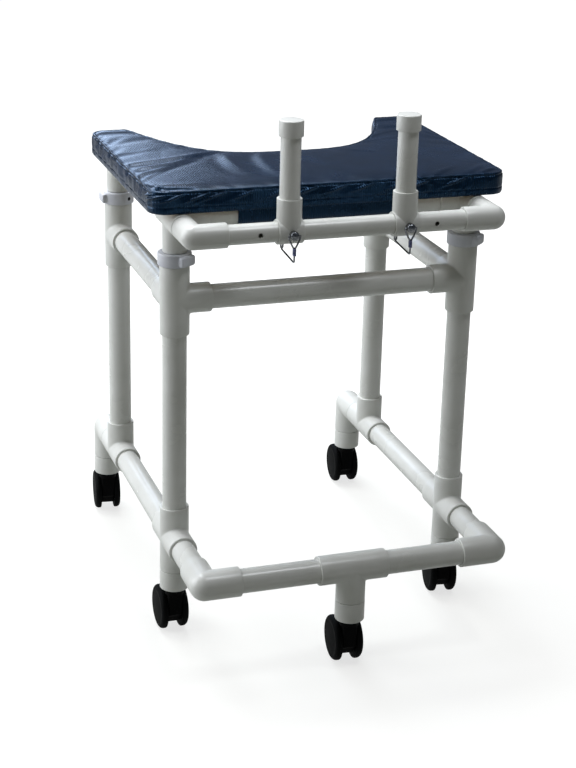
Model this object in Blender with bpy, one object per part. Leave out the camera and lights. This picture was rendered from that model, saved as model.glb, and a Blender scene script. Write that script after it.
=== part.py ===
"""Child's platform walker: a white PVC pipe frame on five twin-wheel casters.

Metres, +Z up. +X is the walker's left-to-right axis, the closed front faces -Y and the
open rear, where the child steps in, faces +Y. The origin is on the floor, under the
middle of the whole walker.
"""
import math

import bmesh
import bpy
import numpy as np
from mathutils import Matrix, Vector

# Driving dimensions of the large pipe and its fittings
LARGE_PIPE_OD = 0.0334
LARGE_PIPE_WALL = 0.00295
LARGE_FITTING_OD = 0.0406
LARGE_ARM = 0.0485
LARGE_SOCKET_DEPTH = 0.0285

# Driving dimensions of the small pipe and its fittings
SMALL_PIPE_OD = 0.0267
SMALL_PIPE_WALL = 0.0026
SMALL_FITTING_OD = 0.0330
SMALL_ARM = 0.0440
SMALL_SOCKET_DEPTH = 0.0250

CAP_CHAMFER = 0.0015
PASSAGE_STEP = 0.0006
TOUCH_GAP = 0.0003
SLIDING_GAP = 0.0004

# Frame layout, centre line to centre line
LEG_SPACING_X = 0.416
LEG_SPACING_Y = 0.326
FRONT_BAR_REACH = 0.155
RAIL_RISE = 0.351

# Casters
WHEEL_DIAMETER = 0.064
WHEEL_WIDTH = 0.0105
WHEEL_FACE_GAP = 0.0210
WHEEL_TREAD_WIDTH = 0.0040
WHEEL_RIM_ROUND = 0.0060
WHEEL_FACE_DOME = 0.0009
WHEEL_FACE_WALL = 0.0025
WHEEL_CLEARANCE = 0.0004
STUB_AXLE_DIAMETER = 0.008
CASTER_TRAIL = 0.0206
HOOD_RISE = 0.0084
HOOD_FLANGE_DIAMETER = 0.027
HOOD_FLANGE_THICKNESS = 0.0070
HOOD_WEB_INSET = 0.0085
HOOD_NECK_WIDTH = 0.022
HOOD_NECK_INSET = 0.0006
STEM_JOURNAL_DIAMETER = 0.009
STEM_JOURNAL_LENGTH = 0.026
SLEEVE_OD = 0.0410
SLEEVE_LENGTH = 0.0285
SWIVEL_DEGREES = {
    "centre_front": -2.5,
    "front_left": 0.5,
    "front_right": -8.5,
    "rear_left": -6.5,
    "rear_right": -3.5,
}

# Telescoping height adjustment
COLLAR_OD = 0.0460
COLLAR_HEIGHT = 0.0175
CLAMP_REACH = 0.0268
CLAMP_THICKNESS = 0.0124
CLAMP_LENGTH = 0.0254
CLAMP_HEIGHT = 0.0145
CLAMP_CORNER = 0.0035
CLAMP_DEGREES = {
    "front_left": -58.0,
    "front_right": -48.0,
    "rear_left": 161.0,
    "rear_right": 19.0,
}
SET_SCREW_FROM_CLAMP_DEGREES = 103.0
SET_SCREW_DIAMETER = 0.0055
SET_SCREW_SEAT = 0.0008
SET_SCREW_HEX = 0.0030
SET_SCREW_HEX_DEPTH = 0.0030
POST_TRAVEL = 0.150
POST_ENGAGEMENT = 0.060

# Platform
PLATFORM_BAR_REACH_GAP = 0.0020
PAD_WIDTH = 0.501
PAD_FRONT_OVERHANG = 0.042
PAD_REAR_OVERHANG = 0.003
PAD_THICKNESS = 0.0330
PAD_CROWN = 0.0030
PAD_CROWN_RUN = 0.030
PAD_SIDE_DRAW = 0.0016
PAD_WELT_DROP = 0.0040
PAD_FRONT_CORNER = 0.018
PAD_REAR_CORNER = 0.024
PAD_HORN_WIDTH = 0.058
PAD_HORN_BLEND = 0.022
PAD_CUTOUT_DEPTH = 0.180
PAD_CUTOUT_POWER = 3.4
BOARD_THICKNESS = 0.006
BOARD_INSET = 0.0060
BOARD_RECESS_GAP = 0.0006
FLAP_WIDTH = 0.250
FLAP_THICKNESS = 0.0016

# Grips and their lock pins
GRIP_SPACING = 0.160
SPARE_HOLE_SPACING = 0.244
TEE_RUN_LENGTH = 0.034
GRIP_RISE = 0.1455
CAP_OD = 0.0322
CAP_HEIGHT = 0.0210
CAP_TOP_WALL = 0.0035
PIN_DIAMETER = 0.006
PIN_HEAD_DIAMETER = 0.012
PIN_HEAD_LENGTH = 0.0110
PIN_HEAD_DOME = 0.0040
PIN_HEAD_STANDOFF = 0.0022
PIN_TIP_REACH = 0.0080
PIN_TIP_TAPER = 0.0015
WIRE_DIAMETER = 0.0020
BAIL_EYE_HALF_WIDTH = 0.0078
BAIL_EYE_LENGTH = 0.0165
BAIL_WRAP_DIAMETER = 0.0052
BAIL_WRAP_LENGTH = 0.0100
BAIL_DROP = 0.0360
BAIL_BEND = 0.0040
BAIL_TIP_CLEARANCE = 0.0015
BAIL_REAR_HALF_WIDTH = 0.0045
BAIL_REAR_RISE = 0.0050
BAIL_REAR_APEX = 0.0300

# Facets round a pipe, a wheel and a thin part: each divides by four, so that pieces line up
PIPE_SIDES = 16
WHEEL_SIDES = 20
THIN_SIDES = 8
PAD_ROWS = 5

# Places worked out from the dimensions above
CASTER_HEIGHT = WHEEL_DIAMETER + HOOD_RISE
LOWER_RAIL_Z = CASTER_HEIGHT + TOUCH_GAP + SLEEVE_LENGTH + TOUCH_GAP + LARGE_ARM
UPPER_RAIL_Z = LOWER_RAIL_Z + RAIL_RISE
COLLAR_Z = UPPER_RAIL_Z + LARGE_ARM + TOUCH_GAP
PLATFORM_Z = COLLAR_Z + COLLAR_HEIGHT + TOUCH_GAP + SMALL_ARM
LEG_X = LEG_SPACING_X / 2
FRONT_LEG_Y = -LEG_SPACING_Y / 2
REAR_LEG_Y = LEG_SPACING_Y / 2
FRONT_BAR_Y = FRONT_LEG_Y - FRONT_BAR_REACH
REAR_ELBOW_Y = REAR_LEG_Y + 2 * LARGE_ARM + TOUCH_GAP
PLATFORM_BAR_Y = FRONT_LEG_Y - 2 * SMALL_ARM - PLATFORM_BAR_REACH_GAP
BOARD_Z = PLATFORM_Z + SMALL_FITTING_OD / 2 + TOUCH_GAP
PAD_TOP_Z = BOARD_Z + PAD_THICKNESS
GRIP_XS = (-GRIP_SPACING / 2, GRIP_SPACING / 2)
HOLE_XS = GRIP_XS + (-SPARE_HOLE_SPACING / 2, SPARE_HOLE_SPACING / 2)
PIN_HOLE_RADIUS = PIN_DIAMETER / 2 + TOUCH_GAP
POST_BORE_RADIUS = SMALL_PIPE_OD / 2 + SLIDING_GAP
POST_BOTTOM_Z = COLLAR_Z - POST_TRAVEL - POST_ENGAGEMENT
BAIL_PIVOT_Y = -(SMALL_FITTING_OD / 2 + PIN_HEAD_STANDOFF + PIN_HEAD_LENGTH / 2)

LEFT, RIGHT, FORWARD, REARWARD, UP, DOWN = (
    Vector(v) for v in ((-1, 0, 0), (1, 0, 0), (0, -1, 0), (0, 1, 0), (0, 0, 1), (0, 0, -1))
)


def clear_scene():
    for obj in list(bpy.data.objects):
        bpy.data.objects.remove(obj, do_unlink=True)


def make_material(name, colour, roughness, metallic=0.0):
    material = bpy.data.materials.new(name)
    material.use_nodes = True
    material.diffuse_color = (*colour, 1.0)
    shader = material.node_tree.nodes["Principled BSDF"]
    shader.inputs["Base Color"].default_value = (*colour, 1.0)
    shader.inputs["Roughness"].default_value = roughness
    shader.inputs["Metallic"].default_value = metallic
    return material


# Mesh building: every helper returns mesh data and leaves no object behind

def finish(bm):
    bmesh.ops.remove_doubles(bm, verts=bm.verts, dist=1e-6)
    bmesh.ops.recalc_face_normals(bm, faces=bm.faces)
    mesh = bpy.data.meshes.new("shape")
    bm.to_mesh(mesh)
    bm.free()
    return mesh


def split_and_finish(bm):
    """Split faces of many corners, which may be hollow in plan, before the mesh is made."""
    bm.normal_update()
    bmesh.ops.triangulate(bm, faces=[face for face in bm.faces if len(face.verts) > 4])
    return finish(bm)


def turned(profile, sides):
    """Turn a closed (radius, height) profile about Z, with its first facet corner at +X."""
    bm = bmesh.new()
    verts = [bm.verts.new((radius, 0.0, height)) for radius, height in profile]
    edges = [bm.edges.new((verts[i], verts[(i + 1) % len(verts)])) for i in range(len(verts))]
    on_axis = [e for e in edges if all(v.co.x < 1e-9 for v in e.verts)]
    for edge in on_axis:
        bm.edges.remove(edge)
    bmesh.ops.spin(
        bm, geom=bm.verts[:] + bm.edges[:], cent=(0, 0, 0), axis=(0, 0, 1),
        angle=2 * math.pi, steps=sides, use_merge=True,
    )
    return finish(bm)


def rod(radius, start, end, sides=PIPE_SIDES, chamfer=0.0):
    """A round bar along Z, chamfered at its upper end."""
    rim = [(radius, end - chamfer), (radius - chamfer, end)] if chamfer else [(radius, end)]
    return turned([(0.0, start), (radius, start), *rim, (0.0, end)], sides)


def tube(outer, inner, start, end, sides=PIPE_SIDES):
    return turned([(inner, start), (outer, start), (outer, end), (inner, end)], sides)


def toward(direction):
    """Rotation that takes +Z to an axis direction and keeps facet corners on the axes."""
    turns = {
        (0, 0, 1): Matrix.Identity(4),
        (0, 0, -1): Matrix.Rotation(math.pi, 4, "X"),
        (1, 0, 0): Matrix.Rotation(math.pi / 2, 4, "Y"),
        (-1, 0, 0): Matrix.Rotation(-math.pi / 2, 4, "Y"),
        (0, 1, 0): Matrix.Rotation(-math.pi / 2, 4, "X"),
        (0, -1, 0): Matrix.Rotation(math.pi / 2, 4, "X"),
    }
    return turns[tuple(round(c) for c in direction)]


def moved(mesh, matrix):
    copy = mesh.copy()
    copy.transform(matrix)
    return copy


def placed(mesh, direction=UP, at=(0, 0, 0)):
    return moved(mesh, Matrix.Translation(Vector(at)) @ toward(direction))


def box(low, high):
    bm = bmesh.new()
    bmesh.ops.create_cube(bm, size=1.0)
    low, high = Vector(low), Vector(high)
    for vert in bm.verts:
        vert.co = Vector(
            low[i] if vert.co[i] < 0 else high[i] for i in range(3)
        )
    return finish(bm)


def rounded(mesh, width):
    """Chamfer the edges of a box that run across its outer end, along its length."""
    bm = bmesh.new()
    bm.from_mesh(mesh)
    reach = max(vert.co.x for vert in bm.verts)
    outer = [edge for edge in bm.edges if all(reach - vert.co.x < 1e-6 for vert in edge.verts)]
    bmesh.ops.bevel(bm, geom=outer, offset=width, segments=1, profile=0.5, affect="EDGES")
    return finish(bm)


def boolean(first, second, operation):
    target = bpy.data.objects.new("target", first)
    tool = bpy.data.objects.new("tool", second)
    for obj in (target, tool):
        bpy.context.scene.collection.objects.link(obj)
    modifier = target.modifiers.new("combine", "BOOLEAN")
    modifier.operation = operation
    modifier.object = tool
    bpy.context.view_layer.update()
    evaluated = target.evaluated_get(bpy.context.evaluated_depsgraph_get())
    result = bpy.data.meshes.new_from_object(evaluated)
    for obj in (target, tool):
        bpy.data.objects.remove(obj, do_unlink=True)
    bm = bmesh.new()
    bm.from_mesh(result)
    return finish(bm)


def combine(base, others, operation):
    """Union or difference of a mesh with each of the others in turn, flat faces merged."""
    for other in others:
        base = boolean(base, other, operation)
    bm = bmesh.new()
    bm.from_mesh(base)
    bmesh.ops.dissolve_limit(bm, angle_limit=math.radians(0.1), verts=bm.verts, edges=bm.edges)
    return finish(bm)


def swept(points, radius, cyclic=False, resolution=1):
    """A wire or tube along points, as a bevelled poly curve made a mesh."""
    curve = bpy.data.curves.new("wire", "CURVE")
    curve.dimensions = "3D"
    curve.bevel_depth = radius
    curve.bevel_resolution = resolution
    curve.use_fill_caps = not cyclic
    spline = curve.splines.new("POLY")
    spline.points.add(len(points) - 1)
    for target, point in zip(spline.points, points):
        target.co = (*point, 1.0)
    spline.use_cyclic_u = cyclic
    obj = bpy.data.objects.new("wire", curve)
    bpy.context.scene.collection.objects.link(obj)
    bpy.context.view_layer.update()
    evaluated = obj.evaluated_get(bpy.context.evaluated_depsgraph_get())
    mesh = bpy.data.meshes.new_from_object(evaluated)
    bpy.data.objects.remove(obj, do_unlink=True)
    bm = bmesh.new()
    bm.from_mesh(mesh)
    return finish(bm)


# Pipes and fittings

class PipeSize:
    """One nominal pipe size with its sockets and fittings."""

    def __init__(self, od, wall, fitting_od, arm, socket_depth):
        self.radius = od / 2
        self.bore = od / 2 - wall
        self.passage = self.bore - PASSAGE_STEP
        self.fitting_radius = fitting_od / 2
        self.arm = arm
        self.socket_depth = socket_depth
        self.socket_radius = od / 2 + TOUCH_GAP

    @property
    def stop(self):
        """Distance from a fitting's centre to the bottom of its socket."""
        return self.arm - self.socket_depth


LARGE = PipeSize(LARGE_PIPE_OD, LARGE_PIPE_WALL, LARGE_FITTING_OD, LARGE_ARM, LARGE_SOCKET_DEPTH)
SMALL = PipeSize(SMALL_PIPE_OD, SMALL_PIPE_WALL, SMALL_FITTING_OD, SMALL_ARM, SMALL_SOCKET_DEPTH)


def runs(directions):
    """Each direction once as (direction, start share), opposite directions as one through run."""
    for direction in directions:
        opposite = any((direction + other).length < 1e-6 for other in directions)
        if opposite and sum(direction) < 0:
            continue
        yield direction, -1.0 if opposite else 0.0


class Moulding:
    """Fittings and the pipes cemented into them, joined into one piece."""

    def __init__(self):
        self.solids = []
        self.cutters = []

    def arms(self, size, directions, at=(0, 0, 0), corner=False):
        """A fitting's body; corner rounds the outside of an elbow."""
        for direction, share in runs(directions):
            self.solids.append(placed(rod(size.fitting_radius, share * size.arm, size.arm), direction, at))
        if corner:
            bm = bmesh.new()
            bmesh.ops.create_uvsphere(
                bm, u_segments=PIPE_SIDES, v_segments=PIPE_SIDES // 2,
                radius=size.fitting_radius + TOUCH_GAP,
            )
            self.solids.append(placed(finish(bm), at=at))
        return self

    def sockets(self, size, directions, at=(0, 0, 0)):
        """Sockets down to their stops, and the fitting's narrower passages between them."""
        for direction, share in runs(directions):
            passage = rod(size.passage, share * size.arm, size.arm, THIN_SIDES)
            self.cutters.append(placed(passage, direction, at))
        for direction in directions:
            socket = rod(size.socket_radius, size.stop, size.arm + size.socket_depth)
            self.cutters.append(placed(socket, direction, at))
        return self

    def pipe(self, size, direction, reach, at=(0, 0, 0), bored=None):
        """A pipe cemented into an arm, bored through its far end or to a stated length."""
        self.solids.append(placed(rod(size.radius, 0.0, reach), direction, at))
        self.cutters.append(placed(rod(size.bore, 0.0, bored or reach + size.arm), direction, at))
        return self

    def spigot(self, size, direction, distance, at=(0, 0, 0)):
        """A street elbow's own pipe end, cemented into the fitting whose centre is that far away."""
        return self.pipe(size, direction, distance - size.stop - TOUCH_GAP, at, distance + PASSAGE_STEP)

    def bore(self, direction, radius, length, sides=PIPE_SIDES, at=(0, 0, 0)):
        self.cutters.append(placed(rod(radius, -length, length, sides), direction, at))
        return self

    def mesh(self):
        solid = self.solids[0]
        if len(self.solids) > 1:
            solid = combine(solid, self.solids[1:], "UNION")
        return combine(solid, self.cutters, "DIFFERENCE")


def fitting(size, sockets, corner=False):
    return Moulding().arms(size, sockets, corner=corner).sockets(size, sockets)


def pipe_between(size, start, end):
    """A pipe from the socket of one fitting centre to the socket of another."""
    start, end = Vector(start), Vector(end)
    direction = (end - start).normalized()
    near = size.stop + TOUCH_GAP
    return placed(tube(size.radius, size.bore, near, (end - start).length - near), direction, start)


# The model's collection, the nodes and their shading

class Model:
    """Collects the walker's pieces as named objects."""

    def __init__(self, name):
        self.collection = bpy.data.collections.new(name)
        bpy.context.scene.collection.children.link(self.collection)
        self.root = bpy.data.objects.new("walker_origin", None)
        self.collection.objects.link(self.root)

    def pivot(self, name, at, parent=None, turn=0.0):
        empty = bpy.data.objects.new(name, None)
        empty.empty_display_size = 0.02
        empty.location = at
        empty.rotation_euler = (0.0, 0.0, turn)
        empty.parent = parent or self.root
        self.collection.objects.link(empty)
        return empty

    def add(self, name, mesh, material, at=(0, 0, 0), parent=None):
        data = mesh.copy()
        data.name = name
        data.materials.clear()
        own = material.copy()
        own.name = name + "_material"
        data.materials.append(own)
        data.shade_smooth()
        data.set_sharp_from_angle(angle=math.radians(32))
        obj = bpy.data.objects.new(name, data)
        obj.location = at
        obj.parent = parent or self.root
        self.collection.objects.link(obj)
        return obj

    def centre_on_floor(self):
        """Move everything so that the origin is the bottom centre of the bounding box."""
        bpy.context.view_layer.update()
        corners = np.array([
            obj.matrix_world @ vert.co
            for obj in self.collection.objects if obj.type == "MESH"
            for vert in obj.data.vertices
        ])
        low, high = corners.min(axis=0), corners.max(axis=0)
        self.root.location = (-(low[0] + high[0]) / 2, -(low[1] + high[1]) / 2, -low[2])
        bpy.context.view_layer.update()


def both_sides():
    return (("left", -1.0), ("right", 1.0))


def build_base(model, pvc):
    """The large-pipe frame that stands on the casters."""
    lower_cross = fitting(LARGE, (UP, DOWN, FORWARD, REARWARD)).mesh()
    elbow_at = (0, REAR_ELBOW_Y - REAR_LEG_Y, 0)
    rear_corner = Moulding().arms(LARGE, (UP, FORWARD, REARWARD)).sockets(LARGE, (UP, FORWARD))
    rear_corner.arms(LARGE, (DOWN, FORWARD), at=elbow_at, corner=True).sockets(LARGE, (DOWN,), at=elbow_at)
    rear_corner.spigot(LARGE, FORWARD, REAR_ELBOW_Y - REAR_LEG_Y, at=elbow_at)
    rear_corner = rear_corner.mesh()
    through = LARGE.arm + LARGE.socket_depth
    upper_tee = fitting(LARGE, (UP, DOWN, FORWARD)).bore(UP, POST_BORE_RADIUS, through).mesh()
    stub_reach = FRONT_BAR_REACH - LARGE.stop - TOUCH_GAP
    for side, sign in both_sides():
        x = sign * LEG_X
        inward = RIGHT if sign < 0 else LEFT
        low_front, low_rear = (x, FRONT_LEG_Y, LOWER_RAIL_Z), (x, REAR_LEG_Y, LOWER_RAIL_Z)
        high_front, high_rear = (x, FRONT_LEG_Y, UPPER_RAIL_Z), (x, REAR_LEG_Y, UPPER_RAIL_Z)
        upper_front = fitting(LARGE, (UP, DOWN, REARWARD, inward)).bore(UP, POST_BORE_RADIUS, through)
        front_corner = Moulding().arms(LARGE, (REARWARD, inward), corner=True)
        front_corner.sockets(LARGE, (inward,)).pipe(LARGE, REARWARD, stub_reach)
        model.add(f"lower_cross_{side}", lower_cross, pvc, low_front)
        model.add(f"rear_lower_corner_{side}", rear_corner, pvc, low_rear)
        model.add(f"upper_front_fitting_{side}", upper_front.mesh(), pvc, high_front)
        model.add(f"upper_rear_tee_{side}", upper_tee, pvc, high_rear)
        model.add(f"front_corner_{side}", front_corner.mesh(), pvc, (x, FRONT_BAR_Y, LOWER_RAIL_Z))
        model.add(f"front_leg_{side}", pipe_between(LARGE, low_front, high_front), pvc)
        model.add(f"rear_leg_{side}", pipe_between(LARGE, low_rear, high_rear), pvc)
        model.add(f"lower_side_rail_{side}", pipe_between(LARGE, low_front, low_rear), pvc)
        model.add(f"upper_side_rail_{side}", pipe_between(LARGE, high_front, high_rear), pvc)
    bar_reach = LEG_X - LARGE.stop - TOUCH_GAP
    front_bar = Moulding().arms(LARGE, (LEFT, RIGHT, DOWN)).sockets(LARGE, (DOWN,))
    front_bar.solids.append(placed(rod(LARGE.radius, -bar_reach, bar_reach), RIGHT))
    front_bar.bore(RIGHT, LARGE.bore, 2 * bar_reach)
    model.add("front_bar", front_bar.mesh(), pvc, (0, FRONT_BAR_Y, LOWER_RAIL_Z))
    crossbar = pipe_between(LARGE, (-LEG_X, FRONT_LEG_Y, UPPER_RAIL_Z), (LEG_X, FRONT_LEG_Y, UPPER_RAIL_Z))
    model.add("upper_crossbar", crossbar, pvc)


def leg_places():
    """Name, sign of X and Y of each leg."""
    return [
        (f"{end}_{side}", sign, y)
        for end, y in (("front", FRONT_LEG_Y), ("rear", REAR_LEG_Y))
        for side, sign in both_sides()
    ]


def build_collars(model, nylon):
    """Height collars plugged into the upper fittings, each with its clamp block and set screw."""
    plug_end = -LARGE_SOCKET_DEPTH
    ring_radius = COLLAR_OD / 2
    middle = COLLAR_HEIGHT / 2
    ring = turned([
        (POST_BORE_RADIUS, plug_end), (LARGE.radius, plug_end), (LARGE.radius, 0.0), (ring_radius, 0.0),
        (ring_radius, COLLAR_HEIGHT), (POST_BORE_RADIUS, COLLAR_HEIGHT),
    ], PIPE_SIDES)
    clamp = box(
        (CLAMP_REACH - CLAMP_THICKNESS, -CLAMP_LENGTH / 2, middle - CLAMP_HEIGHT / 2),
        (CLAMP_REACH, CLAMP_LENGTH / 2, middle + CLAMP_HEIGHT / 2),
    )
    clamp = rounded(clamp, CLAMP_CORNER)
    screw_at = (ring_radius, 0, middle)
    seat = placed(rod(SET_SCREW_DIAMETER / 2, -SET_SCREW_SEAT, ring_radius, THIN_SIDES), RIGHT, screw_at)
    hexagon = placed(rod(SET_SCREW_HEX / 2, -SET_SCREW_HEX_DEPTH, ring_radius, 6), RIGHT, screw_at)
    for name, sign, y in leg_places():
        turn = Matrix.Rotation(math.radians(CLAMP_DEGREES[name]), 4, "Z")
        to_screw = turn @ Matrix.Rotation(math.radians(SET_SCREW_FROM_CLAMP_DEGREES), 4, "Z")
        collar = combine(ring.copy(), [moved(clamp, turn)], "UNION")
        collar = combine(collar, [moved(seat, to_screw), moved(hexagon, to_screw)], "DIFFERENCE")
        model.add(f"height_collar_{name}", collar, nylon, (sign * LEG_X, y, COLLAR_Z))


def caster_places():
    return {
        "centre_front": (0.0, FRONT_BAR_Y),
        "front_left": (-LEG_X, FRONT_LEG_Y),
        "front_right": (LEG_X, FRONT_LEG_Y),
        "rear_left": (-LEG_X, REAR_ELBOW_Y),
        "rear_right": (LEG_X, REAR_ELBOW_Y),
    }


def caster_housing():
    """Web between the wheels, neck, swivel flange and two stub axles; its stem axis is Z."""
    wheel_radius = WHEEL_DIAMETER / 2
    half_web = WHEEL_FACE_GAP / 2 - WHEEL_CLEARANCE
    axle_reach = WHEEL_FACE_GAP / 2 + WHEEL_WIDTH - WHEEL_FACE_WALL - WHEEL_CLEARANCE
    axle_at = (0, CASTER_TRAIL, wheel_radius)
    web = placed(rod(wheel_radius - HOOD_WEB_INSET, -half_web, half_web), RIGHT, axle_at)
    axle = placed(rod(STUB_AXLE_DIAMETER / 2, -axle_reach, axle_reach, THIN_SIDES), RIGHT, axle_at)
    flange_low = CASTER_HEIGHT - HOOD_FLANGE_THICKNESS
    neck_half = HOOD_NECK_WIDTH / 2
    neck_x = half_web - HOOD_NECK_INSET
    neck = box((-neck_x, -neck_half, wheel_radius), (neck_x, CASTER_TRAIL, flange_low + TOUCH_GAP))
    flange = rod(HOOD_FLANGE_DIAMETER / 2, flange_low, CASTER_HEIGHT, PIPE_SIDES)
    solid = combine(web, [neck, flange, axle], "UNION")
    journal = STEM_JOURNAL_DIAMETER / 2 + TOUCH_GAP
    bore = rod(journal, CASTER_HEIGHT - STEM_JOURNAL_LENGTH - TOUCH_GAP, 2 * CASTER_HEIGHT)
    return combine(solid, [bore], "DIFFERENCE")


def caster_wheel():
    """A wheel about Z with its inner face at height zero and its blind bore open there."""
    radius = WHEEL_DIAMETER / 2
    bore = STUB_AXLE_DIAMETER / 2 + TOUCH_GAP
    rim_rise = WHEEL_WIDTH - WHEEL_TREAD_WIDTH - WHEEL_FACE_DOME
    rim = [
        (radius - WHEEL_RIM_ROUND * (1 - math.cos(a)), WHEEL_TREAD_WIDTH + rim_rise * math.sin(a))
        for a in (0.0, math.pi / 4, math.pi / 2)
    ]
    return turned([
        (bore, 0.0),
        (radius, 0.0),
        *rim,
        (0.0, WHEEL_WIDTH),
        (0.0, WHEEL_WIDTH - WHEEL_FACE_WALL),
        (bore, WHEEL_WIDTH - WHEEL_FACE_WALL),
    ], WHEEL_SIDES)


def caster_sleeve():
    """The bushing in a fitting's lower socket with the caster's stem fixed in it."""
    sleeve_radius = SLEEVE_OD / 2
    journal = STEM_JOURNAL_DIAMETER / 2
    sleeve_top = SLEEVE_LENGTH + LARGE_SOCKET_DEPTH - TOUCH_GAP
    return turned([
        (0.0, -STEM_JOURNAL_LENGTH), (journal, -STEM_JOURNAL_LENGTH), (journal, 0.0),
        (sleeve_radius, 0.0), (sleeve_radius, SLEEVE_LENGTH), (LARGE.radius, SLEEVE_LENGTH),
        (LARGE.radius, sleeve_top), (0.0, sleeve_top),
    ], PIPE_SIDES)


def build_casters(model, pvc, black, tread):
    sleeve, housing, wheel = caster_sleeve(), caster_housing(), caster_wheel()
    for name, (x, y) in caster_places().items():
        model.add(f"caster_sleeve_{name}", sleeve, pvc, (x, y, CASTER_HEIGHT + TOUCH_GAP))
        swivel = model.pivot(f"caster_{name}_swivel", (x, y, 0.0), turn=math.radians(SWIVEL_DEGREES[name]))
        model.add(f"caster_{name}_housing", housing, black, parent=swivel)
        axle_at = (0.0, CASTER_TRAIL, WHEEL_DIAMETER / 2)
        axle = model.pivot(f"caster_{name}_axle", axle_at, parent=swivel)
        for side, sign in both_sides():
            outward = Vector((sign, 0, 0))
            placed_wheel = placed(wheel, outward, outward * WHEEL_FACE_GAP / 2)
            model.add(f"caster_{name}_wheel_{side}", placed_wheel, tread, parent=axle)


# The pad's plan: two rounded front corners, two horns and a wide rear cutout

def corner_inset(distance, radius):
    """How far a rounded corner draws an edge in at a distance from the corner."""
    if distance >= radius:
        return 0.0
    return radius - math.sqrt(radius ** 2 - (radius - distance) ** 2)


def pad_front_edge(x):
    return FRONT_LEG_Y - PAD_FRONT_OVERHANG + corner_inset(PAD_WIDTH / 2 - abs(x), PAD_FRONT_CORNER)


def pad_rear_edge(x):
    """The cutout's curve, run smoothly into the straight ends of the horns."""
    far = REAR_LEG_Y + PAD_REAR_OVERHANG
    mouth = PAD_WIDTH / 2 - PAD_HORN_WIDTH
    cutout = far + PAD_CUTOUT_DEPTH * ((abs(x) / mouth) ** PAD_CUTOUT_POWER - 1)
    blend = max(PAD_HORN_BLEND - abs(cutout - far), 0.0) ** 2 / (4 * PAD_HORN_BLEND)
    return min(cutout, far) - blend - corner_inset(PAD_WIDTH / 2 - abs(x), PAD_REAR_CORNER)


def pad_columns():
    """Positions across the pad, closest together where the outline bends."""
    half = PAD_WIDTH / 2
    mouth = half - PAD_HORN_WIDTH
    slope = PAD_CUTOUT_DEPTH * PAD_CUTOUT_POWER / mouth
    bend = PAD_HORN_BLEND / slope
    cutout = [(mouth - 1.6 * bend) * math.sin(math.pi / 2 * k / 8) for k in range(1, 9)]
    horn = [mouth + bend * share for share in (-0.8, 0.0, 1.0)]
    corner = [half - PAD_REAR_CORNER * (1 - math.sin(math.radians(a))) for a in (0, 30, 60, 90)]
    positive = cutout + horn + corner
    return [-x for x in reversed(positive)] + [0.0] + positive


def pad_grid():
    """Plan points of the pad, as columns from the front edge to the rear edge."""
    shares = np.linspace(0.0, 1.0, PAD_ROWS + 1)
    grid = []
    for x in pad_columns():
        front, rear = pad_front_edge(x), pad_rear_edge(x)
        grid.append([(x, front + (rear - front) * share) for share in shares])
    return np.array(grid)


def outline_of(grid):
    """The closed outline of a grid, counterclockwise from the front left corner."""
    front = grid[:, 0]
    right = grid[-1, 1:-1]
    rear = grid[::-1, -1]
    left = grid[0, -2:0:-1]
    return np.concatenate([front, right, rear, left])


def outward_normals(outline):
    along = np.roll(outline, -1, axis=0) - np.roll(outline, 1, axis=0)
    normals = np.stack([along[:, 1], -along[:, 0]], axis=1)
    return normals / np.linalg.norm(normals, axis=1, keepdims=True)


def distance_inside(points, outline):
    start, end = outline, np.roll(outline, -1, axis=0)
    span = end - start
    offset = points[:, None, :] - start[None]
    share = np.clip((offset * span).sum(-1) / (span ** 2).sum(-1), 0.0, 1.0)
    return np.linalg.norm(offset - share[..., None] * span, axis=-1).min(axis=1)


def grid_faces(bm, columns):
    for left, right in zip(columns, columns[1:]):
        for row in range(len(left) - 1):
            bm.faces.new((left[row], right[row], right[row + 1], left[row + 1]))


def ring_faces(bm, upper, lower):
    for k in range(len(upper)):
        n = (k + 1) % len(upper)
        bm.faces.new((lower[k], lower[n], upper[n], upper[k]))


def build_cushion():
    """The upholstered cushion: crowned top, welt, drawn-in sides and a recess for the board."""
    grid = pad_grid()
    outline = outline_of(grid)
    normals = outward_normals(outline)
    bm = bmesh.new()
    inner = grid[1:-1, 1:-1].reshape(-1, 2)
    rise = 1 - np.exp(-distance_inside(inner, outline) / PAD_CROWN_RUN)
    heights = PAD_TOP_Z - PAD_CROWN + PAD_CROWN * rise
    height_of = {tuple(p): z for p, z in zip(inner, heights)}
    edge_z = PAD_TOP_Z - PAD_CROWN
    top = [[bm.verts.new((*p, height_of.get(tuple(p), edge_z))) for p in column] for column in grid]
    grid_faces(bm, top)
    welt = (
        [c[0] for c in top] + top[-1][1:-1] + [c[-1] for c in reversed(top)] + top[0][-2:0:-1]
    )
    levels = (
        (edge_z - PAD_WELT_DROP, -PAD_SIDE_DRAW),
        ((edge_z + BOARD_Z) / 2, PAD_SIDE_DRAW / 2),
        (BOARD_Z + 2 * TOUCH_GAP, -PAD_SIDE_DRAW),
    )
    upper = welt
    for z, out in levels:
        lower = [bm.verts.new((*p, z)) for p in outline + normals * out]
        ring_faces(bm, upper, lower)
        upper = lower
    recess = outline - normals * (BOARD_INSET - BOARD_RECESS_GAP)
    lip = [bm.verts.new((*p, BOARD_Z + 2 * TOUCH_GAP)) for p in recess]
    ring_faces(bm, upper, lip)
    roof_z = BOARD_Z + BOARD_THICKNESS + TOUCH_GAP
    roof = [bm.verts.new((*p, roof_z)) for p in recess]
    ring_faces(bm, lip, roof)
    bm.faces.new(roof[::-1])
    return split_and_finish(bm)


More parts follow.
